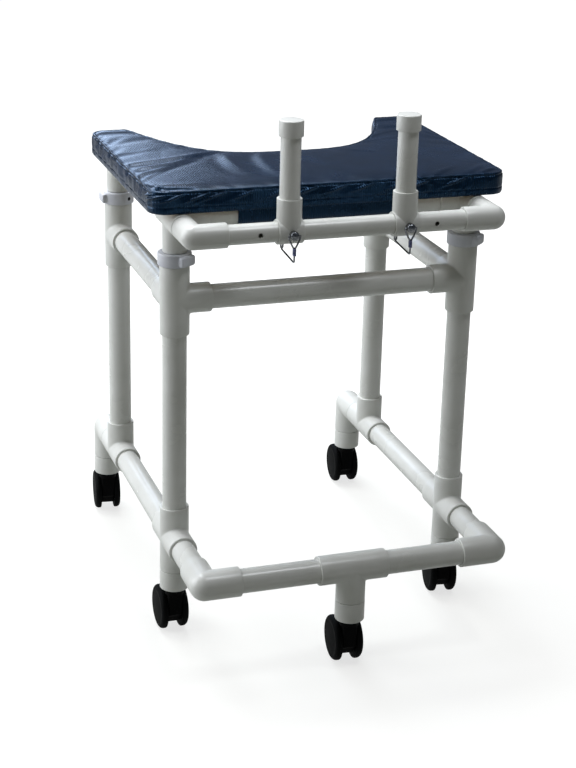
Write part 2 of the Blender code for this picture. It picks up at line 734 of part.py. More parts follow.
def build_board():
    outline = outline_of(pad_grid())
    inset = outline - outward_normals(outline) * BOARD_INSET
    bm = bmesh.new()
    low = [bm.verts.new((*p, BOARD_Z)) for p in inset]
    high = [bm.verts.new((*p, BOARD_Z + BOARD_THICKNESS)) for p in inset]
    ring_faces(bm, high, low)
    bm.faces.new(high)
    bm.faces.new(low[::-1])
    return split_and_finish(bm)


def build_flap():
    """The wrap that goes round the cross pipe, from the pad's underside and back to it."""
    inner = SMALL_PIPE_OD / 2 + TOUCH_GAP
    outer = inner + FLAP_THICKNESS
    top = BOARD_Z - TOUCH_GAP - PLATFORM_Z
    half_turn = [math.pi * (1 + k / 10) for k in range(11)]
    inside = [(inner * math.cos(a), inner * math.sin(a)) for a in half_turn]
    outside = [(outer * math.cos(a), outer * math.sin(a)) for a in half_turn]
    profile = [(-inner, top)] + inside + [(inner, top), (outer, top)] + outside[::-1] + [(-outer, top)]
    bm = bmesh.new()
    ends = []
    for x in (-FLAP_WIDTH / 2, FLAP_WIDTH / 2):
        ends.append([bm.verts.new((x, FRONT_LEG_Y + y, PLATFORM_Z + z)) for y, z in profile])
    ring_faces(bm, ends[0], ends[1])
    bm.faces.new(ends[0])
    bm.faces.new(ends[1][::-1])
    return split_and_finish(bm)


def platform_front_corner(inward):
    """A four-way fitting, its front post below and a street elbow ahead of it."""
    elbow_at = (0, PLATFORM_BAR_Y - FRONT_LEG_Y, 0)
    corner = Moulding().arms(SMALL, (DOWN, FORWARD, REARWARD, inward)).sockets(SMALL, (REARWARD, inward))
    corner.arms(SMALL, (REARWARD, inward), at=elbow_at, corner=True).sockets(SMALL, (inward,), at=elbow_at)
    corner.spigot(SMALL, REARWARD, FRONT_LEG_Y - PLATFORM_BAR_Y, at=elbow_at)
    return corner.pipe(SMALL, DOWN, PLATFORM_Z - POST_BOTTOM_Z).mesh()


def platform_rear_corner():
    """A rear elbow with the side rail ahead of it and the rear post below."""
    corner = Moulding().arms(SMALL, (FORWARD, DOWN), corner=True)
    corner.pipe(SMALL, FORWARD, LEG_SPACING_Y - SMALL.stop - TOUCH_GAP)
    return corner.pipe(SMALL, DOWN, PLATFORM_Z - POST_BOTTOM_Z).mesh()


def build_platform(model, platform, pvc, vinyl, board):
    rear_corner = platform_rear_corner()
    for side, sign in both_sides():
        front_corner = platform_front_corner(RIGHT if sign < 0 else LEFT)
        front, rear = (sign * LEG_X, FRONT_LEG_Y, PLATFORM_Z), (sign * LEG_X, REAR_LEG_Y, PLATFORM_Z)
        model.add(f"platform_front_corner_{side}", front_corner, pvc, front, platform)
        model.add(f"platform_rear_corner_{side}", rear_corner, pvc, rear, platform)
    ends = [(x, PLATFORM_BAR_Y, PLATFORM_Z) for x in (-LEG_X, LEG_X)]
    pin_holes = [
        placed(
            rod(PIN_HOLE_RADIUS, -SMALL_PIPE_OD, SMALL_PIPE_OD, THIN_SIDES),
            REARWARD, (x, PLATFORM_BAR_Y, PLATFORM_Z),
        )
        for x in HOLE_XS
    ]
    bar = combine(pipe_between(SMALL, *ends), pin_holes, "DIFFERENCE")
    cross_ends = [(x, FRONT_LEG_Y, PLATFORM_Z) for x in (-LEG_X, LEG_X)]
    model.add("platform_front_bar", bar, pvc, parent=platform)
    model.add("platform_cross_pipe", pipe_between(SMALL, *cross_ends), pvc, parent=platform)
    model.add("pad_board", build_board(), board, parent=platform)
    model.add("pad_cushion", build_cushion(), vinyl, parent=platform)
    model.add("pad_wrap_flap", build_flap(), vinyl, parent=platform)


def grip():
    """A slip tee on the bar, with a pin hole, an upright pipe and its cap."""
    radius = SMALL.fitting_radius
    half_run = TEE_RUN_LENGTH / 2
    piece = Moulding()
    piece.solids = [
        placed(rod(radius, -half_run, half_run), RIGHT),
        rod(radius - TOUCH_GAP, 0.0, SMALL_ARM),
        rod(SMALL.radius, 0.0, GRIP_RISE - CAP_HEIGHT / 2),
        rod(CAP_OD / 2, GRIP_RISE - CAP_HEIGHT, GRIP_RISE, chamfer=CAP_CHAMFER),
    ]
    piece.cutters = [rod(SMALL.bore, 0.0, GRIP_RISE - CAP_TOP_WALL)]
    piece.bore(RIGHT, SMALL.socket_radius, TEE_RUN_LENGTH)
    return piece.bore(REARWARD, PIN_HOLE_RADIUS, 2 * radius, THIN_SIDES).mesh()


def lock_pin():
    """The pin along +Y through the bar, with the bail's cross hole in its domed head."""
    surface = SMALL.fitting_radius
    head = PIN_HEAD_DIAMETER / 2
    shaft = PIN_DIAMETER / 2
    neck_y = surface + PIN_HEAD_STANDOFF
    front_y = neck_y + PIN_HEAD_LENGTH
    tip_y = surface + PIN_TIP_REACH
    pin = turned([
        (0.0, -front_y), (head * 0.55, -front_y + PIN_HEAD_DOME * 0.25),
        (head, -front_y + PIN_HEAD_DOME), (head, -neck_y), (shaft, -neck_y),
        (shaft, tip_y - PIN_TIP_TAPER), (shaft - PIN_TIP_TAPER, tip_y), (0.0, tip_y),
    ], THIN_SIDES)
    wire_hole = WIRE_DIAMETER / 2 + TOUCH_GAP
    hole = placed(rod(wire_hole, -PIN_HEAD_DIAMETER, PIN_HEAD_DIAMETER, 8), RIGHT, (0, BAIL_PIVOT_Y, 0))
    return combine(placed(pin, REARWARD), [hole], "DIFFERENCE")


def lock_bail():
    """The sprung wire, with the pin head's cross hole at its origin."""
    radius = WIRE_DIAMETER / 2
    rear_y = SMALL.fitting_radius + PIN_TIP_REACH + BAIL_TIP_CLEARANCE + radius - BAIL_PIVOT_Y
    wrap_top = -BAIL_EYE_LENGTH + radius
    wrap_end = wrap_top - BAIL_WRAP_LENGTH
    half = BAIL_EYE_HALF_WIDTH
    side = [(half, 0.0), (half * 0.94, -0.25 * BAIL_EYE_LENGTH), (half * 0.6, -0.62 * BAIL_EYE_LENGTH),
            (radius, -BAIL_EYE_LENGTH)]
    eye = [(x, 0.0, z) for x, z in side] + [(-x, 0.0, z) for x, z in reversed(side)]
    bends = [math.radians(a) for a in (0, 45, 90)]
    run_z = -BAIL_DROP
    strand = [(0.0, 0.0, wrap_end + radius)]
    strand += [
        (0.0, BAIL_BEND * (1 - math.cos(a)), run_z + BAIL_BEND * (1 - math.sin(a))) for a in bends
    ]
    strand += [
        (0.0, rear_y - BAIL_BEND * (1 - math.sin(a)), run_z + BAIL_BEND * (1 - math.cos(a))) for a in bends
    ]
    strand.append((0.0, rear_y, -BAIL_REAR_APEX + radius))
    arc = [math.radians(a) for a in (0, 45, 90, 135, 180)]
    loop = [(BAIL_REAR_HALF_WIDTH * math.cos(a), rear_y, BAIL_REAR_RISE * math.sin(a)) for a in arc]
    waist = BAIL_REAR_HALF_WIDTH * 0.45
    loop += [(-waist, rear_y, -BAIL_REAR_APEX / 2), (-radius, rear_y, -BAIL_REAR_APEX),
             (radius, rear_y, -BAIL_REAR_APEX), (waist, rear_y, -BAIL_REAR_APEX / 2)]
    wrap = rod(BAIL_WRAP_DIAMETER / 2, wrap_end, wrap_top, 8)
    wires = [swept(eye, radius, cyclic=True), swept(strand, radius), swept(loop, radius, cyclic=True)]
    return combine(wrap, wires, "UNION")


def build_grips(model, platform, pvc, steel):
    upright, pin, bail = grip(), lock_pin(), lock_bail()
    for (side, _), x in zip(both_sides(), GRIP_XS):
        place = (x, PLATFORM_BAR_Y, PLATFORM_Z)
        model.add(f"grip_{side}", upright, pvc, place, platform)
        model.add(f"lock_pin_{side}", pin, steel, place, platform)
        model.add(f"lock_bail_{side}", bail, steel, (x, PLATFORM_BAR_Y + BAIL_PIVOT_Y, PLATFORM_Z), platform)


def main():
    clear_scene()
    model = Model("platform_walker")
    pvc = make_material("white_pvc", (0.80, 0.81, 0.78), 0.34)
    nylon = make_material("natural_nylon", (0.72, 0.72, 0.80), 0.42)
    black = make_material("black_nylon", (0.012, 0.013, 0.014), 0.38)
    tread = make_material("black_wheel", (0.010, 0.010, 0.011), 0.46)
    steel = make_material("plated_steel", (0.62, 0.63, 0.64), 0.25, metallic=1.0)
    vinyl = make_material("navy_vinyl", (0.028, 0.062, 0.130), 0.40)
    board = make_material("pad_board", (0.30, 0.22, 0.14), 0.70)
    build_base(model, pvc)
    build_collars(model, nylon)
    build_casters(model, pvc, black, tread)
    platform = model.pivot("platform_lift", (0.0, 0.0, 0.0))
    build_platform(model, platform, pvc, vinyl, board)
    build_grips(model, platform, pvc, steel)
    model.centre_on_floor()


if __name__ == "__main__":
    main()
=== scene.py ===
import logging
import math
from dataclasses import dataclass, field
from enum import Enum
from typing import Any, Iterable, Sequence

import bmesh
import bpy
import numpy as np
from mathutils import Matrix, Vector


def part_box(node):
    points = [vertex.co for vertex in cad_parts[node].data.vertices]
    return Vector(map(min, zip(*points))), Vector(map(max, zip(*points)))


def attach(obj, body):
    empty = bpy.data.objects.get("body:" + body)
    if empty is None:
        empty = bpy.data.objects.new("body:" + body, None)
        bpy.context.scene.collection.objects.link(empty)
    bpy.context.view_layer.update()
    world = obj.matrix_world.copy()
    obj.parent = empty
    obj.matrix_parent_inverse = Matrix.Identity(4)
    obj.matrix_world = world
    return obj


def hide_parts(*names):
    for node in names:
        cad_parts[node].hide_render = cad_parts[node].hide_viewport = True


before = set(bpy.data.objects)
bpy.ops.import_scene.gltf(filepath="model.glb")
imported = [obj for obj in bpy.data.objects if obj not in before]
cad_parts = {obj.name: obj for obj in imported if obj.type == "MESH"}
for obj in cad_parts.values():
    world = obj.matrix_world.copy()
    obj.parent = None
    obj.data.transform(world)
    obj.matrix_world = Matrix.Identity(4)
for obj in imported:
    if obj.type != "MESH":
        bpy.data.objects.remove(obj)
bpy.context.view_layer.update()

log = logging.getLogger("walker")

Array = np.ndarray
Point = Sequence[float]
Profile = list[tuple[float, float]]
Numbers = tuple[float, ...]
Tree = bpy.types.NodeTree
Node = bpy.types.Node
Socket = bpy.types.NodeSocket

TURN = 2 * math.pi
# Facets round a pipe or fitting. It divides by eight, so that the arms of a fitting share
# their corner points.
SIDES = 64


# Directions, sizes and places


class Axis(Enum):
    """The six directions that the walker's pipes run in."""

    LEFT = (-1.0, 0.0, 0.0)
    RIGHT = (1.0, 0.0, 0.0)
    FORWARD = (0.0, -1.0, 0.0)
    REARWARD = (0.0, 1.0, 0.0)
    UP = (0.0, 0.0, 1.0)
    DOWN = (0.0, 0.0, -1.0)

    @property
    def vector(self) -> Array:
        """The direction as an array."""
        return np.array(self.value)

    @property
    def opposite(self) -> "Axis":
        """The direction that points the other way."""
        return Axis(tuple(0.0 - c for c in self.value))

    @property
    def across(self) -> tuple[Array, Array]:
        """Two directions at right angles to this one, along the other axes."""
        first = np.roll(np.abs(self.vector), 1)
        return first, np.cross(self.vector, first)


LEFT, RIGHT, FORWARD, REARWARD, UP, DOWN = Axis
# By side of the walker: its name, the sign of X there, and the direction to the other side.
SIDE_NAMES = (("left", -1.0, RIGHT), ("right", 1.0, LEFT))


@dataclass(frozen=True)
class PipeSize:
    """One nominal pipe size with its fittings, in metres."""

    od: float
    wall: float
    fitting_od: float
    arm: float
    socket_depth: float

    @property
    def radius(self) -> float:
        """The pipe's outer radius."""
        return self.od / 2

    @property
    def bore(self) -> float:
        """The pipe's inner radius."""
        return self.od / 2 - self.wall

    @property
    def body(self) -> float:
        """The fitting's outer radius."""
        return self.fitting_od / 2

    @property
    def inset(self) -> float:
        """Distance from a fitting's centre to the end of a pipe in its socket."""
        return self.arm - self.socket_depth + GAP


GAP = 0.0003
SOCKET_PLAY = 0.00012
CHAMFER = 0.0004
POST_PLAY = 0.0004
LARGE = PipeSize(0.0334, 0.00295, 0.0406, 0.0485, 0.0285)
SMALL = PipeSize(0.0267, 0.0026, 0.0330, 0.0440, 0.0250)
POST_BORE = SMALL.radius + POST_PLAY


def centre(node: str) -> Array:
    """The middle of a CAD node's box."""
    low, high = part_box(node)
    return (np.array(low) + np.array(high)) / 2


class Layout:
    """Centre lines of the walker's pipes, read from the CAD frame."""

    def __init__(self) -> None:
        """Read each line from a node that lies on it."""
        self.leg_x, self.front_leg_y, _ = centre("front_leg_right")
        self.rear_leg_y = centre("rear_leg_right")[1]
        self.lower_z = centre("lower_side_rail_right")[2]
        self.upper_z = centre("upper_side_rail_right")[2]
        _, self.platform_bar_y, self.platform_z = centre("platform_front_bar")
        self.front_bar_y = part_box("front_bar")[0].y + LARGE.body
        self.post_bottom_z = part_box("platform_rear_corner_left")[0].z
        self.collar_z = self.upper_z + LARGE.arm + GAP
        self.rear_elbow_y = self.rear_leg_y + 2 * LARGE.arm + GAP
        self.span_y = self.rear_leg_y - self.front_leg_y


# Surfaces: each is a grid of points worked out as whole arrays


def frame_points(radius: Array, height: Array, angle: Array, axis: Axis, at: Point) -> Array:
    """Points at a radius and angle round an axis, and a height along it."""
    first, second = axis.across
    round_part = np.cos(angle)[..., None] * first + np.sin(angle)[..., None] * second
    return np.array(at) + radius[..., None] * round_part + height[..., None] * axis.vector


def unit(vectors: Array) -> Array:
    """Vectors made one long, along the last axis."""
    return vectors / np.linalg.norm(vectors, axis=-1, keepdims=True)


def bell(value: Array) -> Array:
    """A bell curve, one at zero: exp(-value^2)."""
    return np.exp(-(value ** 2))


class Shell:
    """A surface put together from grids of points, each with surface coordinates in metres."""

    def __init__(self) -> None:
        """Start with no points."""
        self.points: list[Array] = []
        self.coords: list[Array] = []
        self.quads: list[Array] = []
        self.count = 0

    def grid(self, points: Array, coords: Array | None = None) -> "Shell":
        """Add a grid of points as quads.

        Args:
            points: rows by columns by three.
            coords: rows by columns by two; the path lengths along the grid if left out.

        Returns:
            The shell itself.
        """
        rows, cols = points.shape[:2]
        if coords is None:
            coords = np.zeros((rows, cols, 2))
            coords[:, 1:, 0] = np.linalg.norm(np.diff(points, axis=1), axis=-1).cumsum(1).mean(0)
            coords[1:, :, 1] = np.linalg.norm(np.diff(points, axis=0), axis=-1).cumsum(0)
        index = np.arange(rows * cols).reshape(rows, cols) + self.count
        corners = (index[:-1, :-1], index[:-1, 1:], index[1:, 1:], index[1:, :-1])
        self.points.append(points.reshape(-1, 3))
        self.coords.append(coords.reshape(-1, 2))
        self.quads.append(np.stack(corners, -1).reshape(-1, 4))
        self.count += rows * cols
        return self

    def turned(self, profile: Sequence[tuple[float, float]], axis: Axis = UP, at: Point = (0, 0, 0),
               sides: int = SIDES) -> "Shell":
        """Turn a profile of (radius, height) points about an axis.

        Args:
            profile: the points from one end of the surface to the other.
            axis: the axis that heights run along.
            at: the point with height zero on the axis.
            sides: facets round the axis.

        Returns:
            The shell itself.
        """
        radius, height = np.array(profile).T
        path = np.concatenate([[0.0], np.hypot(np.diff(radius), np.diff(height)).cumsum()])
        shape = (len(radius), sides + 1)
        angle = np.broadcast_to(np.linspace(0, TURN, sides + 1), shape)
        radii, heights, paths = (np.broadcast_to(v[:, None], shape) for v in (radius, height, path))
        points = frame_points(radii, heights, angle, axis, at)
        return self.grid(points, np.stack([angle * max(radius.max(), 1e-4), paths], -1))

    def moved(self, matrix: Matrix) -> "Shell":
        """Turn and move every point so far."""
        turn, shift = np.array(matrix.to_3x3()), np.array(matrix.translation)
        self.points = [p @ turn.T + shift for p in self.points]
        return self

    def mesh(self, name: str, sharp: float = 40.0) -> bpy.types.Mesh:
        """Join the grids into one mesh with shared corner points and outward faces.

        Args:
            name: the mesh's name.
            sharp: edges that bend more than this many degrees stay crisp.

        Returns:
            The mesh.
        """
        quads = np.concatenate(self.quads)
        mesh = bpy.data.meshes.new(name)
        mesh.from_pydata(np.concatenate(self.points).tolist(), [], quads.tolist())
        layer = mesh.uv_layers.new(name="surface")
        layer.data.foreach_set("uv", np.concatenate(self.coords)[quads].astype(np.float32).ravel())
        bm = bmesh.new()
        bm.from_mesh(mesh)
        bmesh.ops.remove_doubles(bm, verts=bm.verts, dist=2e-6)
        bmesh.ops.dissolve_degenerate(bm, edges=bm.edges, dist=1e-7)
        bmesh.ops.recalc_face_normals(bm, faces=bm.faces)
        bm.to_mesh(mesh)
        bm.free()
        mesh.shade_smooth()
        mesh.set_sharp_from_angle(angle=math.radians(sharp))
        return mesh


def add_object(name: str, data: bpy.types.ID) -> bpy.types.Object:
    """A new object in the scene."""
    made = bpy.data.objects.new(name, data)
    bpy.context.scene.collection.objects.link(made)
    return made


def place(name: str, shell: Shell, material: bpy.types.Material, body: str, slot: str,
          replaces: Iterable[str] = (), sharp: float = 40.0) -> bpy.types.Object:
    """Make a finished piece that rides on a body.

    Args:
        name: the piece's name.
        shell: its surface, already in place.
        material: its finish.
        body: the CAD body that it moves with.
        slot: the record's material slot; not used.
        replaces: CAD nodes that it stands for.
        sharp: edges that bend more than this many degrees stay crisp.

    Returns:
        The piece.
    """
    piece = add_object(name, shell.mesh(name, sharp))
    piece.data.materials.append(material)
    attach(piece, body)
    if replaces:
        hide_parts(*replaces)
    log.info("%s: %d faces on %s", name, len(piece.data.polygons), body)
    return piece


def evaluated_mesh(piece: bpy.types.Object) -> bpy.types.Mesh:
    """A copy of a piece's mesh as its modifiers leave it."""
    bpy.context.view_layer.update()
    return bpy.data.meshes.new_from_object(piece.evaluated_get(bpy.context.evaluated_depsgraph_get()))


def rows_of(mesh: bpy.types.Mesh, what: str) -> Array:
    """Each vertex's "co" or "normal" as a row of three."""
    flat = np.empty(len(mesh.vertices) * 3)
    mesh.vertices.foreach_get(what, flat)
    return flat.reshape(-1, 3)


def arc(centre_r: float, centre_h: float, radius: float, start: float, end: float, count: int = 5) -> Profile:
    """Points of a profile's round corner, from one angle to another in degrees."""
    turns = np.radians(np.linspace(start, end, count))
    return list(zip(centre_r + radius * np.cos(turns), centre_h + radius * np.sin(turns)))


def swept(path: Array, radius: float, normal: Point, sides: int = 16) -> Array:
    """A round wire along a path.

    One axis of its section is the given normal, made square to the path, and the other is
    square to both.

    Args:
        path: points by three.
        radius: the wire's radius.
        normal: a direction that is nowhere along the path.
        sides: facets round the wire.

    Returns:
        A grid of points, with a pole at each end.
    """
    tangent = unit(np.gradient(path, axis=0))
    side = np.broadcast_to(np.asarray(normal, float), path.shape)
    side = unit(side - tangent * (side * tangent).sum(1, keepdims=True))
    other = np.cross(tangent, side)
    angle = np.linspace(0, TURN, sides + 1)[None, :, None]
    points = path[:, None] + radius * (np.cos(angle) * side[:, None] + np.sin(angle) * other[:, None])
    ends = [np.repeat(path[i][None, None], sides + 1, axis=1) for i in (0, -1)]
    return np.concatenate([ends[0], points, ends[1]])


def smooth_path(points: Sequence[Point], rounding: float, steps: int = 5) -> Array:
    """A path of straight runs whose corners are rounded by short quadratic curves.

    Args:
        points: the corners, ends included.
        rounding: how far from a corner its curve starts.
        steps: points on each curve.

    Returns:
        The path's points.
    """
    corners = np.array(points, float)
    t = np.linspace(0, 1, steps)[:, None]
    path = [corners[:1]]
    for before, here, after in zip(corners, corners[1:], corners[2:]):
        ends = []
        reach = min(rounding, 0.45 * np.linalg.norm(here - before), 0.45 * np.linalg.norm(after - here))
        for other in (before, after):
            ends.append(here + unit(other - here) * reach)
        path.append((1 - t) ** 2 * ends[0] + 2 * t * (1 - t) * here + t * t * ends[1])
    return np.concatenate(path + [corners[-1:]])


# Fittings


class End(Enum):
    """What a fitting's arm ends in."""

    SOCKET = "a socket that a pipe is cemented into"
    SPIGOT = "the fitting's own pipe end, for another fitting's socket"
    SLIP = "a plain bore that slides on a pipe"


@dataclass
class Fitting:
    """A moulded pipe fitting: round arms from one centre, blended where they meet.

    Attributes:
        size: the pipe size.
        at: the fitting's centre.
        arms: each arm's direction and end.
        fillet: how wide the blend between two arms is.
        lip: rounding of each mouth's outer rim.
        reach: arm lengths that differ from the size's own.
        passage: radius of the bore through two opposite arms.
    """

    size: PipeSize
    at: Point
    arms: dict[Axis, End]
    fillet: float = 0.0036
    lip: float = 0.0011
    reach: dict[Axis, float] = field(default_factory=dict)
    passage: float | None = None

    def length(self, axis: Axis) -> float:
        """How far an arm reaches from the centre."""
        return self.reach.get(axis, self.size.arm)

    def rays(self) -> list[tuple[Array, bool]]:
        """Each arm's direction once, and whether it runs both ways."""
        found = []
        for axis in self.arms:
            through = axis.opposite in self.arms
            if not through or sum(axis.value) > 0:
                found.append((axis.vector, through))
        return found

    def blended(self, points: Array) -> Array:
        """Move points onto the smooth union of the arms' cylinders.

        Each arm's distance is that to its centre line, less the body radius. Two distances
        a and b join as b(1-h) + ah - kh(1-h), with h = 1/2 + (b-a)/2k held between 0 and 1.
        The blend k is the fillet times one less the cosine between the two surfaces'
        normals, so that nothing swells where the surfaces run together. A few Newton steps
        along the gradient bring a point to zero.
        """
        p = points - np.array(self.at)
        for _ in range(6):
            total, slope = None, None
            for direction, through in self.rays():
                along = p @ direction
                if not through:
                    along = np.maximum(along, 0.0)
                radial = p - along[..., None] * direction
                norm = np.linalg.norm(radial, axis=-1)
                distance = norm - self.size.body
                normal = radial / np.maximum(norm, 1e-9)[..., None]
                if total is None:
                    total, slope = distance, normal
                    continue
                blend = self.fillet * np.clip(1 - (slope * normal).sum(-1), 1e-3, 1)
                h = np.clip(0.5 + 0.5 * (total - distance) / blend, 0, 1)
                total = total * (1 - h) + distance * h - blend * h * (1 - h)
                slope = slope * (1 - h)[..., None] + normal * h[..., None]
            square = np.maximum((slope ** 2).sum(-1), 0.2)
            p = p - (total / square)[..., None] * slope
        return p + np.array(self.at)

    def skin(self, axis: Axis) -> Array:
        """An arm's outer surface, from the planes that it shares with its neighbours to its rim."""
        first, second = axis.across
        angle = np.linspace(0, TURN, SIDES + 1)[:, None]
        outward = np.cos(angle) * first + np.sin(angle) * second
        others = [other.vector for other in self.arms if other not in (axis, axis.opposite)]
        lean = np.max([np.zeros(SIDES + 1)] + [outward @ other for other in others], axis=0)
        start = self.size.body * lean
        # Rows crowd together near the blend.
        share = np.array([0, 0.02, 0.045, 0.075, 0.11, 0.15, 0.2, 0.27, 0.38, 0.6, 1.0])[:, None]
        along = start + (self.length(axis) - self.lip - start) * share
        points = np.array(self.at) + self.size.body * outward + along[..., None] * axis.vector
        bent = self.blended(points)
        bent[-1] = points[-1]
        return bent

    def mouth(self, axis: Axis, end: End) -> Profile:
        """The profile from an arm's rim inwards, as (radius, distance from the centre)."""
        size, length = self.size, self.length(axis)
        rim = arc(size.body - self.lip, length - self.lip, self.lip, 0, 90)
        if end is End.SPIGOT:
            far = length + size.socket_depth - 2 * GAP
            return rim + [(size.radius, length), (size.radius, far), (size.bore, far), (size.bore, length),
                          (0, length)]
        wall = size.radius + SOCKET_PLAY
        rim += [(wall + CHAMFER, length), (wall, length - CHAMFER)]
        if end is End.SLIP:
            return rim + [(wall, 0.0)]
        stop = length - size.socket_depth
        if axis.opposite in self.arms:
            passage = self.passage or size.bore - 2 * GAP
            return rim + [(wall, stop), (passage, stop), (passage, 0.0)]
        return rim + [(wall, stop), (0.0, stop)]

    def shell(self) -> Shell:
        """The whole fitting as one closed surface."""
        shell = Shell()
        for axis, end in self.arms.items():
            shell.grid(self.skin(axis)).turned(self.mouth(axis, end), axis, self.at)
        if len(self.arms) == 2 and not any(axis.opposite in self.arms for axis in self.arms):
            one, two = (axis.vector for axis in self.arms)
            turn = np.linspace(0, math.pi, SIDES // 2 + 1)[None, :, None]
            swing = np.linspace(0, math.pi / 2, SIDES // 4 + 1)[:, None, None]
            away = -np.cos(swing) * two - np.sin(swing) * one
            heel = np.cos(turn) * np.cross(one, two) + np.sin(turn) * away
            shell.grid(self.blended(np.array(self.at) + self.size.body * heel))
        return shell


def pipe_shell(size: PipeSize, axis: Axis, start: Point, near: float, far: float) -> Shell:
    """A pipe with its bore and square-cut ends.

    Args:
        size: the pipe size.
        axis: the pipe's direction.
        start: a point on its centre line.
        near: distance from that point to its near end.
        far: distance from that point to its far end.

    Returns:
        The pipe as one closed surface.
    """
    outer, eased = size.radius, size.radius - CHAMFER
    return Shell().turned([(eased, near), (outer, near + CHAMFER), (outer, far - CHAMFER), (eased, far),
                           (size.bore, far), (size.bore, near), (eased, near)], axis, start)


# Finishes


def srgb(code: str) -> Numbers:
    """A colour written as sRGB hex, turned to linear light."""
    parts = [int(code[i:i + 2], 16) / 255 for i in (1, 3, 5)]
    linear = [c / 12.92 if c <= 0.04045 else ((c + 0.055) / 1.055) ** 2.4 for c in parts]
    return (*linear, 1.0)


def add_node(tree: Tree, kind: str, inputs: dict[Any, Any] | None = None, **settings: Any) -> Node:
    """Add a node with its settings and links.

    Args:
        tree: the tree that gets the node.
        kind: Blender's name for the node.
        inputs: by socket, a value to set or another node's socket to link.
        settings: the node's own properties.

    Returns:
        The node.
    """
    node = tree.nodes.new(kind)
    for key, value in settings.items():
        setattr(node, key, value)
    for key, value in (inputs or {}).items():
        if isinstance(value, Socket):
            tree.links.new(value, node.inputs[key])
        else:
            node.inputs[key].default_value = value
    return node


def bare_tree(owner: bpy.types.Material | bpy.types.World) -> Tree:
    """A material's or world's node tree, emptied."""
    owner.use_nodes = True
    owner.node_tree.nodes.clear()
    return owner.node_tree


@dataclass(frozen=True)
class Finish:
    """What every finish has: two close tones and a roughness.

    Attributes:
        name: the material's name.
        colour: the tone where its noise is high, as sRGB hex.
        dull: the tone where it is low.
        roughness: the middle roughness.
    """

    name: str
    colour: str
    dull: str
    roughness: float

    def tone(self, tree: Tree, noise: Node, levels: Sequence[float]) -> Socket:
        """The two tones mixed by a noise, between two of its levels."""
        share = add_node(tree, "ShaderNodeMapRange", {
            "Value": noise.outputs["Fac"], "From Min": levels[0], "From Max": levels[1]})
        tones = {0: share.outputs["Result"], 6: srgb(self.dull), 7: srgb(self.colour)}
        return add_node(tree, "ShaderNodeMix", tones, data_type="RGBA").outputs[2]

    def rough(self, tree: Tree, noise: Node, swing: Sequence[float]) -> Socket:
        """The roughness, swung by a noise from one offset to another."""
        return add_node(tree, "ShaderNodeMapRange", {
            "Value": noise.outputs["Fac"], "To Min": self.roughness + swing[0],
            "To Max": self.roughness + swing[1]}).outputs["Result"]

    def inputs(self, tree: Tree, coords: Node) -> dict[str, Any]:
        """The Principled shader's inputs, by socket."""
        raise NotImplementedError

    def make(self) -> bpy.types.Material:
        """Build the material."""
        material = bpy.data.materials.new(self.name)
        tree = bare_tree(material)
        inputs = self.inputs(tree, add_node(tree, "ShaderNodeTexCoord"))
        shader = add_node(tree, "ShaderNodeBsdfPrincipled", inputs)
        add_node(tree, "ShaderNodeOutputMaterial", {"Surface": shader.outputs["BSDF"]})
        return material


@dataclass(frozen=True)
class HardFinish(Finish):
    """A hard surface: tone and roughness follow soft clouds, and a fine noise gives the relief.

    Attributes:
        cloud: scale and detail of the clouds.
        levels: where the clouds' tones start and end.
        swing: roughness added between the clouds and in them.
        relief: scale, detail, bump strength and height in metres of the fine noise.
        numbers: other sockets of the shader.
        stretch: scale of the relief along the surface's own coordinates, if it is drawn out.
    """

    cloud: Numbers
    levels: Numbers
    swing: Numbers
    relief: Numbers
    numbers: tuple[tuple[str, float], ...]
    stretch: Numbers | None = None

    def inputs(self, tree: Tree, coords: Node) -> dict[str, Any]:
        """The Principled shader's inputs, by socket."""
        where = coords.outputs["Object"]
        cloud = add_node(tree, "ShaderNodeTexNoise", {
            "Vector": where, "Scale": self.cloud[0], "Detail": self.cloud[1]})
        if self.stretch:
            where = add_node(tree, "ShaderNodeMapping", {
                "Vector": coords.outputs["UV"], "Scale": self.stretch}).outputs["Vector"]
        scale, detail, strength, height = self.relief
        fine = add_node(tree, "ShaderNodeTexNoise", {"Vector": where, "Scale": scale, "Detail": detail})
        bump = add_node(tree, "ShaderNodeBump", {
            "Height": fine.outputs["Fac"], "Strength": strength, "Distance": height})
        return {"Base Color": self.tone(tree, cloud, self.levels), "Normal": bump.outputs["Normal"],
                "Roughness": self.rough(tree, cloud, self.swing), **dict(self.numbers)}


@dataclass(frozen=True)
class RigidPvc(HardFinish):
    """White rigid PVC, injection moulded as fittings.

    To the eye it is an opaque warm white with a soft gloss and a very fine orange-peel skin,
    about 1.5 mm from crest to crest.
    """

    colour: str = "#E4E5E0"
    dull: str = "#DCDDD7"
    roughness: float = 0.30
    cloud: Numbers = (22.0, 4.0)
    levels: Numbers = (0.35, 0.62)
    swing: Numbers = (0.08, -0.05)
    relief: Numbers = (650.0, 2.0, 0.35, 0.00005)
    numbers: tuple[tuple[str, float], ...] = (("IOR", 1.53),)


@dataclass(frozen=True)
class DrawnPvc(RigidPvc):
    """The same PVC extruded as pipe: glossier, with faint drawing lines along its length.

    The lines are about 1 mm apart round the pipe, coarser than real ones so that they show.
    """

    roughness: float = 0.25
    relief: Numbers = (1.0, 2.0, 0.35, 0.00004)
    stretch: Numbers | None = (900.0, 6.0, 1.0)


@dataclass(frozen=True)
class MouldedNylon(HardFinish):
    """Nylon as moulded: satin and smooth, with spark-eroded mould grain.

    The natural collars look faintly violet-white beside the PVC, and the black casters are
    nearly matt. The grain is about 2 mm across, coarser than real so that it shows.
    """

    roughness: float = 0.42
    cloud: Numbers = (60.0, 5.0)
    levels: Numbers = (0.35, 0.65)
    swing: Numbers = (0.08, -0.06)
    relief: Numbers = (480.0, 3.0, 0.4, 0.00008)
    numbers: tuple[tuple[str, float], ...] = (("IOR", 1.53), ("Specular IOR Level", 0.5))


